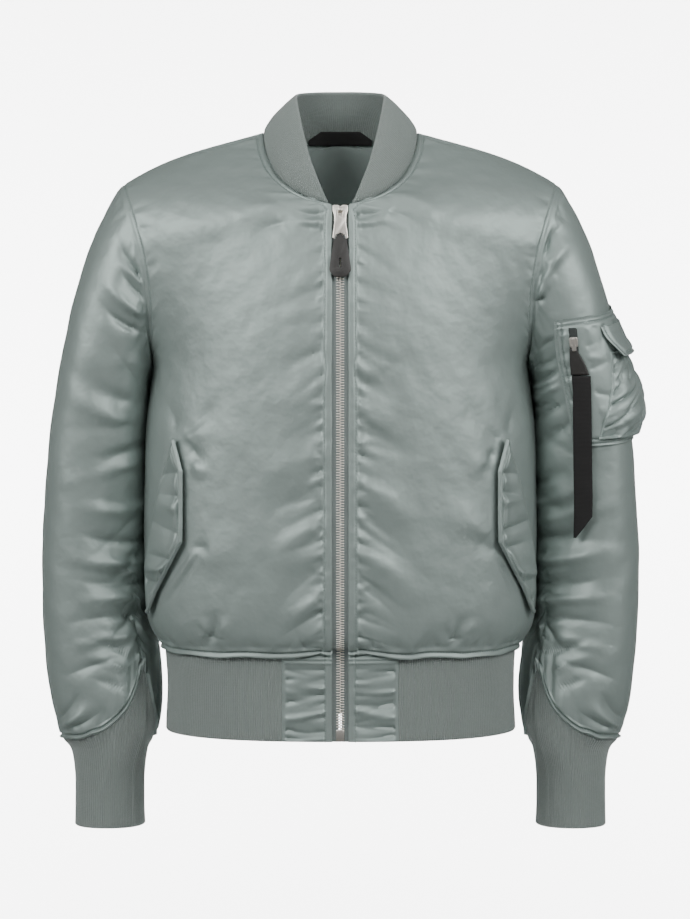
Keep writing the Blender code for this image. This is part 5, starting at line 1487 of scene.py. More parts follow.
@dataclass
class Sleeve:
    """A two-piece sleeve, full over the elbow and gathered into its rib cuff."""

    side: Side
    folds: Sequence[Fold]
    thread: Topstitching
    seed: int
    rows: int = 280
    columns: int = 192
    press: float = 0.0042         # how far the body and the arm press the cloth between them

    def lay(self) -> Lay:
        """The sleeve's fine grid on the left side, rows from the armhole to the wrist."""
        columns = np.arange(self.columns) * ARM_COLUMNS / self.columns
        fine = resampled(sleeve_grid(), graded(SLEEVE_ROWS, self.rows, 0.35), columns, closed=True)
        return Lay(relaxed(fine, 20, closed=True), from_arm_axis, closed=True)

    def relief(self, lay: Lay) -> Array:
        """Height of folds, gathers, the welt and seams at each point."""
        facing, inward, depth = lay.normals[..., 1], -lay.normals[..., 0], -lay.points[..., 2]
        height = folds_relief(lay.points, self.folds) * smooth_step(-facing, -0.20, 0.20)
        height += folds_relief(lay.points, SLEEVE_BACK_FOLDS) * smooth_step(facing, -0.20, 0.20)
        girth = float(np.median(lay.first[:, -1])) * (1 + 1 / self.columns)
        turn = lay.first / lay.first[:, -1:] * (1 - 1 / self.columns)
        height += 0.0014 * noise(turn * 6, lay.foot / 0.085, self.seed + 2, 6)
        height += 0.0011 * noise(turn * 14, lay.foot / 0.034 + turn * girth / 0.05, self.seed + 3, 14)
        pressed = 0.75 * smooth_step(inward, 0.75, 0.97) * (depth < 0.50)
        height += self.inner_puckers(lay, depth) * (1 - pressed)
        height += Gathers(0.0125, 0.0032, 0.022, 0.0018, 0.6, self.seed + 4, 0.002).relief(
            lay.foot_edge, lay.foot)
        height += Gathers(0.0190, 0.0050, 0.034, 0.0028, 0.5, self.seed + 5, SEAM_GRIP).relief(
            lay.top_edge, lay.top)
        height *= smooth_step(np.minimum(lay.foot, lay.top), 0.0, 0.007)
        under_arm = smooth_step(depth, 0.175, 0.215) * (1 - smooth_step(depth, 0.480, 0.530))
        height += self.press * under_arm * smooth_step(inward, 0.55, 0.95)
        return height + Seam(0.0020, 0.004).relief(lay.foot) + welt(lay.top)

    def inner_puckers(self, lay: Lay, depth: Array) -> Array:
        """Puckers that fan out from the arm's inner side, and the seam above the gusset."""
        total = np.zeros(depth.shape)
        for index, fan in enumerate(FANS):
            past = self.past_line(lay, fan.angle)
            held = smooth_step(depth, fan.low - 0.015, fan.low + 0.015) * (
                1 - smooth_step(depth, fan.high - 0.010, fan.high + 0.020))
            for sign in (-1, 1):
                puckers = Gathers(fan.spacing, fan.width, fan.reach, fan.height, 0.55,
                                  self.seed + 10 * index + sign)
                away = past * sign
                spread = puckers.relief(depth, np.maximum(away, 0.0), fan.low, fan.high, fan.tilt)
                total += spread * held * smooth_step(away, 0.0, 0.004)
        past = np.abs(self.past_line(lay, GUSSET_DEG))
        return total + Seam(0.0022, 0.0026).relief(past) * smooth_step(depth, 0.46, 0.53)

    def past_line(self, lay: Lay, angle: float) -> Array:
        """Way round the arm from the line at an angle."""
        column = round(angle / 360 * self.columns)
        return lay.first - lay.first[:, column:column + 1]

    def build(self) -> Object:
        """The finished sleeve."""
        lay = self.lay()
        height = self.relief(lay)
        outer, inner = lay.raised(height), lay.raised(np.minimum(height, 0.0) - SHELL_WALL)
        self.thread.row(outer, lay, lay.top, WELT_STITCH, self.side)
        word = self.side.word
        return sew(f"sleeve_{word}_shell", f"sleeve_{word}", lay, (outer, inner), (SHELL, LINING),
                   Slot.SATIN, "hung", [f"front_{word}_shell", "back_shell"], self.side)


def even_places(line: Array, closed: bool = False) -> Array:
    """Places by index along a line of points for the columns of a rib, in whole pairs of wales.

    Args:
        line: Coarse points.
        closed: The line comes back to its first point.

    Returns:
        The places, the closing one left out.
    """
    points = np.vstack([line, line[:1]]) if closed else line
    fine = np.linspace(0, len(points) - 1, 60 * (len(points) - 1) + 1)
    way = run_of(spline(range(len(points)), points, fine))
    pairs = max(1, round(way[-1] / (RIB_PITCH / RIB_STEPS) / (2 * RIB_STEPS)))
    places = np.interp(np.linspace(0, way[-1], pairs * 2 * RIB_STEPS + 1), way, fine)
    return places[:-1] if closed else places


def wales(columns: int, depth: float) -> Array:
    """Height of the knit ribs at each column: a round rib and a narrow groove."""
    return -depth * np.array([1.0, 0.30, 0.0, 0.30])[np.arange(columns) % RIB_STEPS]


@dataclass
class RibCuff:
    """A rib-knit cuff with the pointed gusset that runs up into the sleeve."""

    side: Side
    rows: int = 44
    rib_depth: float = 0.00075

    def build(self) -> Object:
        """The finished cuff."""
        coarse = cuff_grid()
        places = even_places(coarse[2], closed=True)
        fine = resampled(coarse, graded(3, self.rows, 0.5), places, closed=True)
        lay = Lay(fine, from_arm_axis, closed=True)
        height = wales(fine.shape[1], self.rib_depth) * smooth_step(lay.top, 0.0, 0.0015)
        height = height + 0.0009 * noise(lay.first / 0.045, lay.foot / 0.03, 70)
        height += Seam(0.0014, 0.002).relief(lay.foot)
        faces = rolled(lay, height, lay.top, RIB_WALL)
        word = self.side.word
        return sew(f"cuff_{word}_rib", f"cuff_{word}", lay, faces, (RIB, RIB), Slot.RIB, "stretched",
                   [f"sleeve_{word}_shell"], self.side, stride=(4, 2))


# ---------------------------------------------------------------- waistband
@dataclass
class Waistband:
    """Rib waistband round the sides and back, and the two satin panels beside the zip."""

    thread: Topstitching
    rows: int = 24
    panel_rows: int = 72
    panel_columns: int = 52
    rib_depth: float = 0.00075
    panel_stitch: float = 0.0075

    def rib(self) -> Object:
        """The knitted part."""
        half = hem_grid()
        whole = np.concatenate([half, Side.RIGHT.turned(half)[:, -2::-1]], axis=1)
        coarse = whole[:, PANEL_COLUMNS:whole.shape[1] - PANEL_COLUMNS]
        lay = Lay(resampled(coarse, graded(2, self.rows, 0.5), even_places(coarse[1])), from_torso_axis)
        height = wales(lay.points.shape[1], self.rib_depth)
        height = height + 0.0014 * noise(lay.first / 0.07, lay.foot / 0.05, 80)
        ends = np.minimum(lay.first, lay.last)
        height = height + Seam(0.0014, 0.002).relief(lay.foot) + Seam(0.0012, 0.002).relief(ends)
        return sew("waistband_rib", "hem_rib", lay, rolled(lay, height, lay.top, RIB_WALL), (RIB, RIB),
                   Slot.RIB, "stretched", SHELL_ROUND)

    def panel(self, side: Side) -> Object:
        """A satin panel, drawn up in level tucks under its seam."""
        coarse = hem_grid()[:, :PANEL_COLUMNS + 1]
        fine = resampled(coarse, graded(2, self.panel_rows, 0.4),
                         graded(PANEL_COLUMNS, self.panel_columns, 0.4))
        lay = Lay(fine, from_torso_axis)
        seed = 90 if side is Side.LEFT else 94
        wave = 0.0008 * noise(lay.first / 0.05, 0 * lay.foot, seed)
        height = sum(0.0011 * ridge(lay.foot - wave, way, 0.0016) for way in (0.004, 0.0085))
        height += Gathers(0.0088, 0.0026, 0.034, 0.0040, 0.25, seed + 2, SEAM_GRIP).relief(
            lay.first_edge, lay.first, 0.010)
        height += Gathers(0.0095, 0.0026, 0.028, 0.0040, 0.25, seed + 3, 0.002).relief(
            lay.last_edge, lay.last, 0.010)
        height *= smooth_step(np.minimum(lay.top, lay.last), 0.0, 0.004)
        height += Seam(0.0014, 0.0022).relief(lay.foot) + Seam(0.0014, 0.0025).relief(lay.last)
        height -= 0.0010 * ridge(lay.first, self.panel_stitch, 0.0013)
        faces = rolled(lay, height, np.minimum(lay.first, lay.top), SHELL_WALL)
        self.thread.row(faces[0], lay, lay.first, self.panel_stitch, side)
        word = side.word
        return sew(f"hem_panel_{word}_satin", f"hem_panel_{word}", lay, faces, (SHELL, LINING), Slot.SATIN,
                   "gathered", ["waistband_rib", f"front_{word}_shell"], side)

    def build(self) -> list[Object]:
        """The rib and both panels."""
        return [self.rib(), *(self.panel(side) for side in Side)]


# ---------------------------------------------------------------- collar and hanger loop
@dataclass
class RibCollar:
    """The rib collar, a doubled band that stands round the neck and rolls over at its top."""

    rows: int = 28
    rib_depth: float = 0.00055
    wall: float = 0.0036

    def build(self) -> Object:
        """The finished collar."""
        coarse = collar_grid()
        lay = Lay(resampled(coarse, graded(3, self.rows, 0.62), even_places(coarse[1])), from_torso_axis)
        ribs = wales(lay.points.shape[1], self.rib_depth) * smooth_step(lay.top, 0.0, 0.0015)
        ends = np.minimum(lay.first, lay.last)
        height = ribs + 0.0008 * noise(lay.first / 0.05, lay.foot / 0.03, 100)
        height += Seam(0.0018, 0.0025).relief(lay.foot) * smooth_step(ends, 0.0, 0.01)
        roll = rounded(np.minimum(lay.top, ends), self.wall)
        faces = lay.raised(height - roll), lay.raised(roll - self.wall - ribs)
        return sew("collar_rib", "collar", lay, faces, (RIB, RIB), Slot.RIB, "stretched", SHELL_ROUND,
                   stride=(2, 1))


@dataclass
class HangerLoop:
    """Black tape across the back neck, which takes the jacket's weight on a hook."""

    half_foot: float = 0.0340
    half_top: float = 0.0210
    foot_z: float = -0.0135
    rise: float = 0.0155
    end_rise: float = 0.0060
    clear: float = 0.0066          # from the neck's seam line to the tape
    wall: float = 0.0012

    def build(self) -> Object:
        """The finished loop."""
        table = np.array(NECK)[NECK_POINT:][::-1]
        xs = np.linspace(-self.half_foot, self.half_foot, 65)
        slope = np.clip((self.half_foot - np.abs(xs)) / (self.half_foot - self.half_top), 0.0, 1.0)
        level = np.linspace(0.0, 1.0, 17)[:, None]
        y = spline(table[:, 0], table[:, 1], np.abs(xs)) - self.clear - self.wall * level
        z = self.foot_z + level * (self.end_rise + (self.rise - self.end_rise) * slope)
        lay = Lay(np.stack([np.broadcast_to(xs, z.shape), y, z], axis=-1), forwards)
        height = 0.0003 * noise(lay.first / 0.012, lay.foot / 0.01, 110)
        faces = rolled(lay, height, np.minimum(lay.foot, lay.top), self.wall)
        return sew("hanger_tape", "hanger_loop", lay, faces, (RIBBON_TAPE, RIBBON_TAPE), Slot.BLACK_TAPE,
                   "hung", ["lining_back_satin", "collar_rib"])


# ---------------------------------------------------------------- pieces sewn on a panel
def patch_lay(surface: Surface, first: tuple[Array, Array], last: tuple[Array, Array],
              columns: int, outward: Outward) -> Lay:
    """Lay of a patch on a surface, between two edges given in the surface's own numbers.

    Args:
        surface: Gives points from a way round and a height.
        first: Ways round and heights of the first edge.
        last: The same of the last edge.
        columns: Steps from edge to edge.
        outward: Rough outward direction.

    Returns:
        The lay of the patch.
    """
    share = np.linspace(0.0, 1.0, columns + 1)
    around, z = (a[:, None] + (b - a)[:, None] * share for a, b in zip(first, last))
    return Lay(surface(around, z), outward)


@dataclass
class PocketFlap:
    """Slanted padded flap, piped along its open edge, over the mouth of a front pocket."""

    side: Side
    thread: Topstitching
    rows: int = 160
    columns: int = 48
    wall: float = 0.0036
    piping: float = 0.0042
    fill: float = 0.35

    def build(self) -> Object:
        """The finished flap."""
        z = np.interp(graded(len(FLAP_Z) - 1, self.rows, 0.3), range(len(FLAP_Z)), FLAP_Z)
        down = -np.array(FLAP_Z)
        first, last = (around_at(torso_surface, np.interp(-z, down, xs), z, 0.3, 0.84)
                       for xs in (FLAP_INNER_X, FLAP_OUTER_X))
        lay = patch_lay(torso_surface, (first, z), (last, z), self.columns, from_torso_axis)
        seed = 120 if self.side is Side.LEFT else 124
        edge = np.minimum(lay.first, np.minimum(lay.foot, lay.top) * 0.8)
        near = np.minimum(edge, lay.last)
        tucks = Gathers(0.022, 0.0052, 0.070, 0.0062, 0.25, seed, 0.004)
        puff = 0.0030 * smooth_step(near, 0.0, 0.011)
        puff += tucks.relief(lay.first_edge, lay.first, 0.02) * smooth_step(near, 0.003, 0.008)
        bead = np.sqrt(np.clip(1 - ((edge - self.piping / 2) / (self.piping / 2)) ** 2, 0.0, 1.0)) * 0.0020
        stitch = self.piping + 0.0006
        groove = 0.0014 * ridge(edge, stitch, 0.0011) + 0.0009 * ridge(edge, self.piping + 0.0046, 0.0010)
        stand = 0.0036 * (1 - smooth_step(lay.first, 0.0, 0.020)) + 0.0006
        height = stand + self.wall * 0.5 + puff + bead - groove
        height -= 0.0016 * np.exp(-((lay.last / 0.003) ** 1.5))
        roll = rounded(near, self.wall)
        raised = lay.raised(height - roll)
        self.thread.row(raised, lay, lay.first, stitch, self.side, low=FLAP_Z[-1] + 0.012)
        node = f"pocket_flap_{self.side.word}"
        piece = cloth_wall(f"{node}_satin", lay, self.side.turned(raised),
                           self.side.turned(lay.raised(stand + roll * 0.5)), (SHELL, SHELL))
        return settle(piece, [node])


def strip_lay(table: Sequence[Strip], rows: int, columns: int) -> Lay:
    """Lay of a strip on the front of the left arm."""
    levels = np.array(table)[::-1]
    z = np.linspace(table[0].z, table[-1].z, rows + 1)
    left, right = (around_at(arm_surface, np.interp(z, levels[:, 0], levels[:, k]), z, 0.0, 180.0)
                   for k in (1, 2))
    return patch_lay(arm_surface, (left, z), (right, z), columns, from_arm_axis)


def arm_patch_lay(table: Sequence[Patch], rows: int, columns: int) -> Lay:
    """Lay of a patch on the left arm from a front edge by x to a rear edge by angle."""
    levels = spline(range(len(table)), np.array(table), np.linspace(0, len(table) - 1, rows + 1))
    front_x, front_z, rear_deg, rear_z = levels.T
    front = around_at(arm_surface, front_x, front_z, 0.0, 180.0)
    return patch_lay(arm_surface, (front, front_z), (rear_deg, rear_z), columns, from_arm_axis)


class SliderPart(NamedTuple):
    """A block of the sleeve's slider."""

    width: float
    length: float
    thick: float
    shift: float           # down the zip from its middle
    lift: float            # over its tape


SLIDER_PARTS = [
    SliderPart(0.0088, 0.0105, 0.0022, 0.0000, 0.0011),   # body
    SliderPart(0.0078, 0.0030, 0.0022, -0.0040, 0.0016),  # shoulders
    SliderPart(0.0030, 0.0084, 0.0016, -0.0004, 0.0030),  # crown
    SliderPart(0.0044, 0.0066, 0.0010, 0.0058, 0.0030),   # link
]


@dataclass
class SleevePocket:
    """Utility pocket on the wearer's left arm: zipped base, bellows pen pocket, flap, pull and ribbon."""

    thread: Topstitching
    clear: float = 0.0012          # from the sleeve to the pocket's underside
    zip_wall: float = 0.0016
    leather_wall: float = 0.0022
    ribbon_wall: float = 0.0014
    double_row: tuple[float, float] = (0.0022, 0.0072)
    flap_stitch: float = 0.0035

    @property
    def base_top(self) -> float:
        """Height of the pocket's face over the sleeve."""
        return self.clear + TRIM_WALL + 0.0003

    def sewn(self, name: str, node: str, lay: Lay, heights: tuple[Array, Array], held: str,
             rests_on: Sequence[str], scale: float = 1.0) -> Object:
        """A satin piece between two heights over the sleeve."""
        return sew(name, node, lay, tuple(lay.raised(height) for height in heights), (SHELL, SHELL),
                   Slot.SATIN, held, rests_on, scale=scale)

    def base(self) -> Object:
        """The flat pocket with its double-stitched edge and top band."""
        lay = arm_patch_lay(POCKET, 104, 96)
        edge = nearest(lay.first, lay.last, lay.top, lay.foot)
        height = self.clear + TRIM_WALL + 0.0016 * smooth_step(edge, 0.002, 0.012)
        puckers = Gathers(0.0080, 0.0024, 0.014, 0.0020, 0.4, 140, 0.004)
        relief = puckers.relief(lay.first_edge, lay.first) + puckers.relief(lay.top_edge, lay.top)
        relief += Gathers(0.012, 0.0032, 0.020, 0.0020, 0.4, 141, 0.010).relief(lay.foot_edge, lay.foot)
        relief += Gathers(0.016, 0.0040, 0.022, 0.0020, 0.5, 142, 0.030).relief(lay.first_edge, lay.first)
        height = height + relief * smooth_step(edge, 0.0, 0.004)
        for way in self.double_row:
            height -= 0.0018 * ridge(np.minimum(lay.first, lay.top), way, 0.0010)
            height -= 0.0018 * ridge(lay.foot, way, 0.0011)
        for way in self.double_row:
            for away in (lay.first, lay.top, lay.foot):
                self.thread.row(lay.raised(height), lay, away, way)
        roll = rounded(edge, TRIM_WALL)
        return self.sewn("sleeve_pocket_satin", "sleeve_pocket_base", lay,
                         (height - roll, self.clear + roll), "laid", ["sleeve_left_shell"])

    def pen_pocket(self) -> Object:
        """The bellows pocket, full in its middle and drawn in by folds at its foot."""
        rows, columns = 96, 72
        lay = arm_patch_lay(PEN_POCKET, rows, columns)
        bulge = spline(range(5), PEN_BULGE, np.linspace(0, 4, rows + 1))[:, None] * np.sin(
            np.linspace(0.0, 1.0, columns + 1) * math.pi) ** 0.55
        edge = nearest(lay.first, lay.last, lay.foot, lay.top)
        relief = Crumple(0.0050, 0.030, 0.022, 0.22, 1.1, 150).relief(lay.first, lay.foot)
        relief += Gathers(0.0105, 0.0028, 0.020, 0.0024, 0.8, 151).relief(lay.top_edge, lay.top, tilt=-0.5)
        relief += Gathers(0.0110, 0.0026, 0.014, 0.0018, 0.6, 152).relief(lay.first_edge, lay.first)
        height = self.base_top + bulge + TRIM_WALL + relief * smooth_step(edge, 0.0, 0.004)
        foot = self.base_top + 0.7 * bulge * smooth_step(edge, 0.0, 0.01)
        return self.sewn("pen_pocket_satin", "pen_pocket", lay, (height - rounded(edge, TRIM_WALL), foot),
                         "gathered", ["sleeve_pocket_satin"], 1.12)

    def pen_flap(self) -> Object:
        """The small round-cornered flap over the pen pocket."""
        steps = 56
        lay = arm_patch_lay(PEN_FLAP, steps, steps)
        foot = self.base_top + spline(range(4), PEN_FLAP_LIFT, np.linspace(0, 3, steps + 1))[:, None]
        edge = nearest(lay.first, lay.last, lay.top)
        height = foot + TRIM_WALL + 0.0012 * smooth_step(edge, 0.002, 0.008)
        height = height - 0.0009 * ridge(edge, self.flap_stitch, 0.0010)
        height = height + Crumple(0.0010, 0.020, 0.040, 0.16, 0.4, 160).relief(lay.first, lay.foot)
        self.thread.row(lay.raised(height), lay, lay.first, self.flap_stitch)
        roll = rounded(np.minimum(edge, lay.foot), TRIM_WALL)
        return self.sewn("pen_flap_satin", "pen_flap", lay, (height - roll, foot), "laid",
                         ["sleeve_pocket_satin", "pen_pocket_satin"])

    @staticmethod
    def strip(lay: Lay, foot: float, wall: float, seed: int) -> tuple[Array, Array]:
        """Outer and inner points of a flat strip with rolled edges, a height over the sleeve."""
        roll = rounded(nearest(lay.first, lay.last, lay.foot, lay.top), wall)
        height = foot + wall + 0.0004 * noise(lay.first / 0.02, lay.foot / 0.02, seed)
        return lay.raised(height - roll), lay.raised(foot + roll)

    def slider(self, lay: Lay) -> Object:
        """The small slider: its body, its crown and the link that carries the leather."""
        low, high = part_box("sleeve_zip_slider")
        middle = lay.points.shape[1] // 2
        row = int(np.argmin(np.abs(lay.points[:, middle, 2] - (low[2] + high[2]) / 2)))
        normal = lay.normals[row, middle]
        down = unit(lay.points[row + 2, middle] - lay.points[row - 2, middle])
        down = down * -np.sign(down[2])
        axes = np.stack([np.cross(normal, down), down, normal])
        parts = np.array(SLIDER_PARTS)
        lift = self.base_top + self.zip_wall + parts[:, 4]
        origins = lay.points[row, middle] + parts[:, 3:4] * down + lift[:, None] * normal
        block = small_block("slider part", (1.0, 1.0, 1.0), 0.16, 3)
        piece = copies(block, "sleeve_slider_metal", NICKEL, origins, np.stack([axes] * len(parts)),
                       parts[:, :3])
        return settle(piece, ["sleeve_zip_slider"])

    def build(self) -> None:
        """Makes every piece of the pocket."""
        over = self.base_top + self.zip_wall + 0.0006
        zip_lay = strip_lay(SLEEVE_ZIP, 60, 8)
        strips = self.strip(zip_lay, self.base_top, self.zip_wall, 60)
        # The strip's near-black tape is painted shade standing in for the shadow in the zip's slit.
        settle(cloth_wall("sleeve_zip_strip", zip_lay, *strips, (SLIT_SHADE_TAPE, SLIT_SHADE_TAPE)),
               ["sleeve_zip"])
        lay = strip_lay(SLEEVE_LEATHER, 28, 16)
        strips = self.strip(lay, over, self.leather_wall, 28)
        settle(cloth_wall("sleeve_pull_tab", lay, *strips, (LEATHER, LEATHER)),
               ["sleeve_pull_leather"])
        lay = strip_lay(RIBBON, 120, 16)
        sew("sleeve_pull_ribbon", "sleeve_ribbon", lay, self.strip(lay, over, self.ribbon_wall, 120),
            (RIBBON_TAPE, RIBBON_TAPE), Slot.BLACK_TAPE, "hung", ["sleeve_pull_tab"])
        self.slider(zip_lay)
        self.base()
        self.pen_pocket()
        self.pen_flap()


# ---------------------------------------------------------------- hardware
def clear_selection() -> None:
    """Leaves every object unselected."""
    for obj in bpy.context.view_layer.objects:
        obj.select_set(False)


def join_flats(builder: Builder) -> None:
    """Joins the triangles of each flat face of a solid."""
    bmesh.ops.remove_doubles(builder, verts=builder.verts, dist=MERGE)
    bmesh.ops.dissolve_limit(builder, angle_limit=math.radians(2), verts=builder.verts, edges=builder.edges)


def refined_solid(name: str, node: str, width: float, finish: Finish, body: str = JACKET,
                  segments: int = 3) -> Object:
    """A copy of a hard solid, with its edges broken as a cast or cut part's are.

    Args:
        name: Name of the piece.
        node: Node to copy and to stand for.
        width: Width of the broken edges.
        finish: Its finish.
        body: Body that it rides on.
        segments: Steps of each broken edge.

    Returns:
        The finished piece.
    """
    mesh = frame["nodes"][node].data.copy()
    mesh.name = name
    edit_mesh(mesh, join_flats)
    mesh.materials.clear()
    mesh.materials.append(finish.material())
    piece = new_object(name, mesh)
    bevel = piece.modifiers.new("broken edges", "BEVEL")
    bevel.width, bevel.segments = width, segments
    bevel.limit_method, bevel.angle_limit = "ANGLE", math.radians(25)
    clear_selection()
    piece.select_set(True)
    bpy.context.view_layer.objects.active = piece
    bpy.ops.object.modifier_apply(modifier=bevel.name)
    piece.data.shade_smooth()
    piece.data.set_sharp_from_angle(angle=math.radians(35))
    return settle(piece, [node], body)


def copies(pattern: Object, name: str, finish: Finish, origins: Array, axes: Array,
           sizes: Optional[Array] = None) -> Object:
    """One joined mesh of many copies of a small shape, which is then removed.

    Args:
        pattern: The shape, modelled once round the origin.
        name: Name of the joined piece.
        finish: Its finish.
        origins: Place of each copy.
        axes: Its three directions, as rows.
        sizes: Its scale along them.

    Returns:
        The new object.
    """
    mesh = pattern.data
    points = np.array([vertex.co for vertex in mesh.vertices])
    polygons = [list(polygon.vertices) for polygon in mesh.polygons]
    sizes = np.ones((len(origins), 3)) if sizes is None else sizes
    placed = np.einsum("pk,nk,nkj->npj", points, sizes, axes) + origins[:, None]
    faces = [[index + copy * len(points) for index in polygon]
             for copy in range(len(origins)) for polygon in polygons]
    bpy.data.objects.remove(pattern, do_unlink=True)
    return new_piece(name, placed.reshape(-1, 3), faces, (finish,))


def small_block(name: str, size: Place, bevel: float, segments: int) -> Object:
    """A block round the origin with its edges bevelled by hand."""
    clear_selection()
    bpy.ops.mesh.primitive_cube_add(size=1.0, location=(0.0, 0.0, 0.0))
    block = bpy.context.active_object
    block.name = name
    block.scale = size
    bpy.ops.object.transform_apply(location=False, rotation=False, scale=True)
    bpy.ops.object.mode_set(mode="EDIT")
    bpy.ops.mesh.select_all(action="SELECT")
    bpy.ops.mesh.bevel(offset=bevel, segments=segments, affect="EDGES")
    bpy.ops.object.mode_set(mode="OBJECT")
    return block


@dataclass
class MainZip:
    """The front zip: tapes, metal teeth, bottom stop, slider, pull and leather tab."""

    pitch: float = 0.0028          # from one tooth to the next on the same side
    tooth: Place = (0.0046, 0.0024, 0.0013)
    tooth_bevel: float = 0.0004
    tooth_x: float = 0.0019        # from the middle to a tooth's own middle
    sunk: float = 0.0036           # depth of the teeth under the zip's line
    stop_height: float = 0.0130
    slider_foot: float = 0.0100    # from the slider's top to the first tooth under it
    rows: int = 260
    tape_wall: float = 0.0008

    def line(self) -> tuple[Array, Array]:
        """Fine points and forward normals of the zip's line."""
        points, normals = zip_line()
        places = np.linspace(0, len(points) - 1, self.rows + 1)
        return spline(range(len(points)), points, places), unit(spline(range(len(points)), normals, places))

    def tape(self, side: Side) -> Object:
        """One woven tape, with the cord that carries its teeth."""
        points, normals = self.line()
        xs = np.array([0.0016, 0.0028, 0.0036, 0.0044, 0.0052, 0.0062, 0.0090, 0.0130, TAPE_EDGE_X])
        cord = np.array([0.0002, 0.0006, 0.0008, 0.0006, 0.0001, 0.0, 0.0, 0.0, 0.0])
        face = points - normals * TAPE_DEPTH
        lay = Lay(face[:, None] + np.array([1.0, 0.0, 0.0]) * xs[:, None], forwards)
        faces = tuple(lay.raised(np.broadcast_to(height, lay.foot.shape))
                      for height in (cord, -self.tape_wall))
        return sew(f"zip_tape_{side.word}_woven", f"zip_tape_{side.word}", lay, faces, (TAPE, TAPE),
                   Slot.ZIP_TAPE, "hung", [f"front_{side.word}_shell"], side)

    def teeth(self) -> Object:
        """Both rows of teeth, which mesh along the middle."""
        points, normals = self.line()
        way = run_of(points)
        ends = (HEM_BOTTOM_Z + self.stop_height, float(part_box("zip_slider")[1][2]) - self.slider_foot)
        low, high = np.interp(ends, points[:, 2], way)
        places = np.arange(low + self.pitch / 2, high, self.pitch / 2)
        forward = unit(read_at(places, way, normals))
        across = np.zeros((len(places), 3))
        across[:, 0] = np.where(np.arange(len(places)) % 2 == 0, 1.0, -1.0)
        origins = read_at(places, way, points) - forward * self.sunk + across * self.tooth_x
        axes = np.stack([across, -forward, -np.cross(forward, across)], axis=1)
        block = small_block("tooth", self.tooth, self.tooth_bevel, 1)
        return settle(copies(block, "zip_teeth", NICKEL, origins, axes), ["zip_chain"])

    def build(self) -> None:
        """Makes every piece of the zip."""
        for side in Side:
            self.tape(side)
        self.teeth()
        refined_solid("zip_stop_metal", "zip_bottom_stop", 0.0002, NICKEL, segments=1)
        refined_solid("zip_slider_metal", "zip_slider", 0.0005, NICKEL)
        refined_solid("zip_pull_metal", "zip_pull", 0.0004, NICKEL, PULL)
        refined_solid("zip_pull_tab", "zip_pull_leather", 0.00025, LEATHER, PULL, 2)


# ---------------------------------------------------------------- studio
@dataclass(frozen=True)
class Softbox:
    """A rectangular soft light that points at a place."""

    name: str
    place: Place
    aim: Place
    size: tuple[float, float]
    power: float

    def build(self, side: float) -> None:
        """Sets the light up, on the left of the scene or, with side -1, on the right."""
        data = bpy.data.lights.new(self.name, "AREA")
        data.shape, data.size, data.size_y, data.energy = "RECTANGLE", *self.size, self.power
        turn = np.array([side, 1.0, 1.0])
        point(new_object(self.name, data), self.place * turn, self.aim * turn)


TOP_LIGHT = Softbox("top", (0.0, -0.9, 1.5), (0.0, 0.0, 0.0), (1.6, 0.8), 9.0)
SIDE_LIGHTS = [
    Softbox("front softbox", (1.05, -1.25, 0.58), (0.0, 0.0, -0.20), (1.0, 0.5), 19.8),
    Softbox("side softbox", (2.0, -1.0, 0.40), (0.0, 0.0, -0.20), (0.9, 0.9), 14.5),
    Softbox("backdrop light", (2.8, 2.2, -0.5), (0.2, 5.6, -0.7), (0.5, 2.2), 850.0),
]


def point(obj: Object, place: Sequence[float], aim: Sequence[float]) -> None:
    """Puts a camera or a light at a place and points it at another."""
    obj.location = place
    obj.rotation_mode = "QUATERNION"
    obj.rotation_quaternion = (Vector(aim) - Vector(place)).to_track_quat("-Z", "Y")


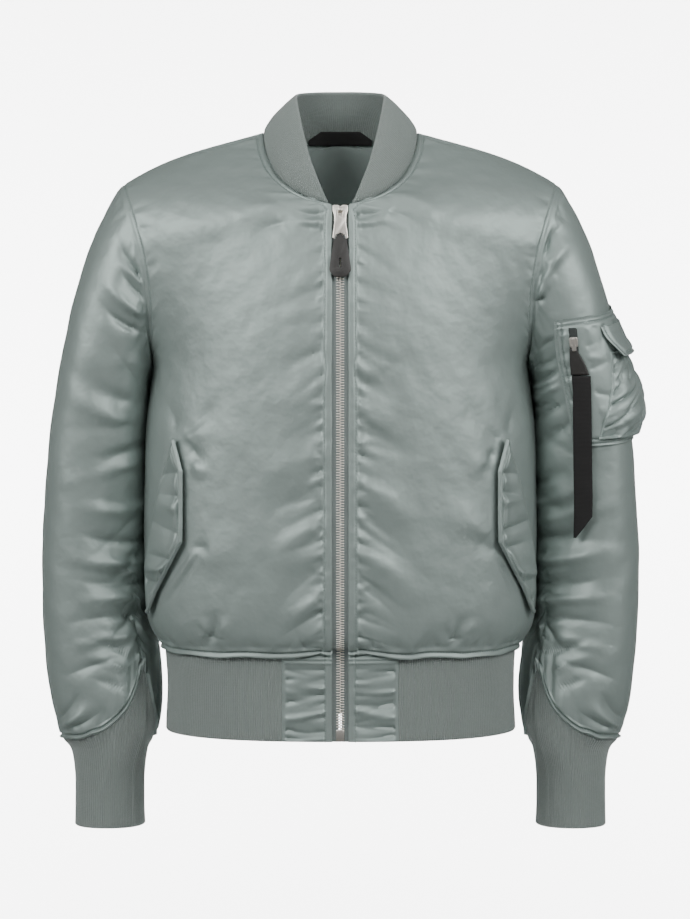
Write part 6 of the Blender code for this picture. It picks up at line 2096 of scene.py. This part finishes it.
@dataclass
class Studio:
    """Pale seamless paper, soft lights and the camera."""

    camera_at: Place = (0.005, -3.6, -0.13)
    aim_at: Place = (0.005, 0.0, -0.353)
    lens: float = 130.6
    floor_z: float = -2.0
    backdrop_y: float = 5.6
    backdrop_top: float = 5.0
    half_width: float = 6.0
    bend: float = 1.2
    room_light: float = 0.20

    def camera(self) -> None:
        """The camera, level with the collar and looking slightly down."""
        data = bpy.data.cameras.new("camera")
        data.lens, data.sensor_width = self.lens, 36.0
        camera = new_object("camera", data)
        point(camera, self.camera_at, self.aim_at)
        bpy.context.scene.camera = camera

    def paper(self) -> None:
        """The floor and backdrop in one sweep, kept out of the satin's reflections."""
        start, foot = self.backdrop_y - self.bend, self.floor_z
        angles = np.linspace(0.0, math.pi / 2, 17)[1:]
        curve = [(start + self.bend * math.sin(a), foot + self.bend * (1 - math.cos(a))) for a in angles]
        profile = [(-self.half_width, foot), (start, foot), *curve, (self.backdrop_y, self.backdrop_top)]
        vertices = np.array([[x, y, z] for x in (-self.half_width, self.half_width) for y, z in profile])
        count = len(profile)
        faces = [[k, k + 1, k + 1 + count, k + count] for k in range(count - 1)]
        piece = new_piece("paper", vertices, faces, (PAPER,), sharp_deg=60.0)
        piece.visible_glossy = False

    def build(self) -> None:
        """Camera, paper, lights and the room's own light."""
        self.camera()
        self.paper()
        TOP_LIGHT.build(1.0)
        for softbox in SIDE_LIGHTS:
            for side in (-1.0, 1.0):
                softbox.build(side)
        world = bpy.data.worlds.new("room")
        world.use_nodes = True
        set_inputs(world.node_tree.nodes["Background"],
                   {"Color": linear("f6f6f6"), "Strength": self.room_light})
        bpy.context.scene.world = world


def main() -> None:
    """Builds the jacket piece by piece and logs each one."""
    logging.basicConfig(level=logging.INFO, format="%(message)s")
    Studio().build()
    thread = Topstitching()
    FrontPanel(Side.RIGHT, RIGHT_FRONT_FOLDS, thread, seed=3).build()
    FrontPanel(Side.LEFT, LEFT_FRONT_FOLDS, thread, seed=13).build()
    BackPanel(thread).build()
    Sleeve(Side.RIGHT, RIGHT_SLEEVE_FOLDS, thread, seed=50).build()
    Sleeve(Side.LEFT, LEFT_SLEEVE_FOLDS, thread, seed=60).build()
    for side in Side:
        RibCuff(side).build()
        PocketFlap(side, thread).build()
    Waistband(thread).build()
    RibCollar().build()
    HangerLoop().build()
    SleevePocket(thread).build()
    MainZip().build()
    thread.build()


if __name__ == "__main__":
    main()
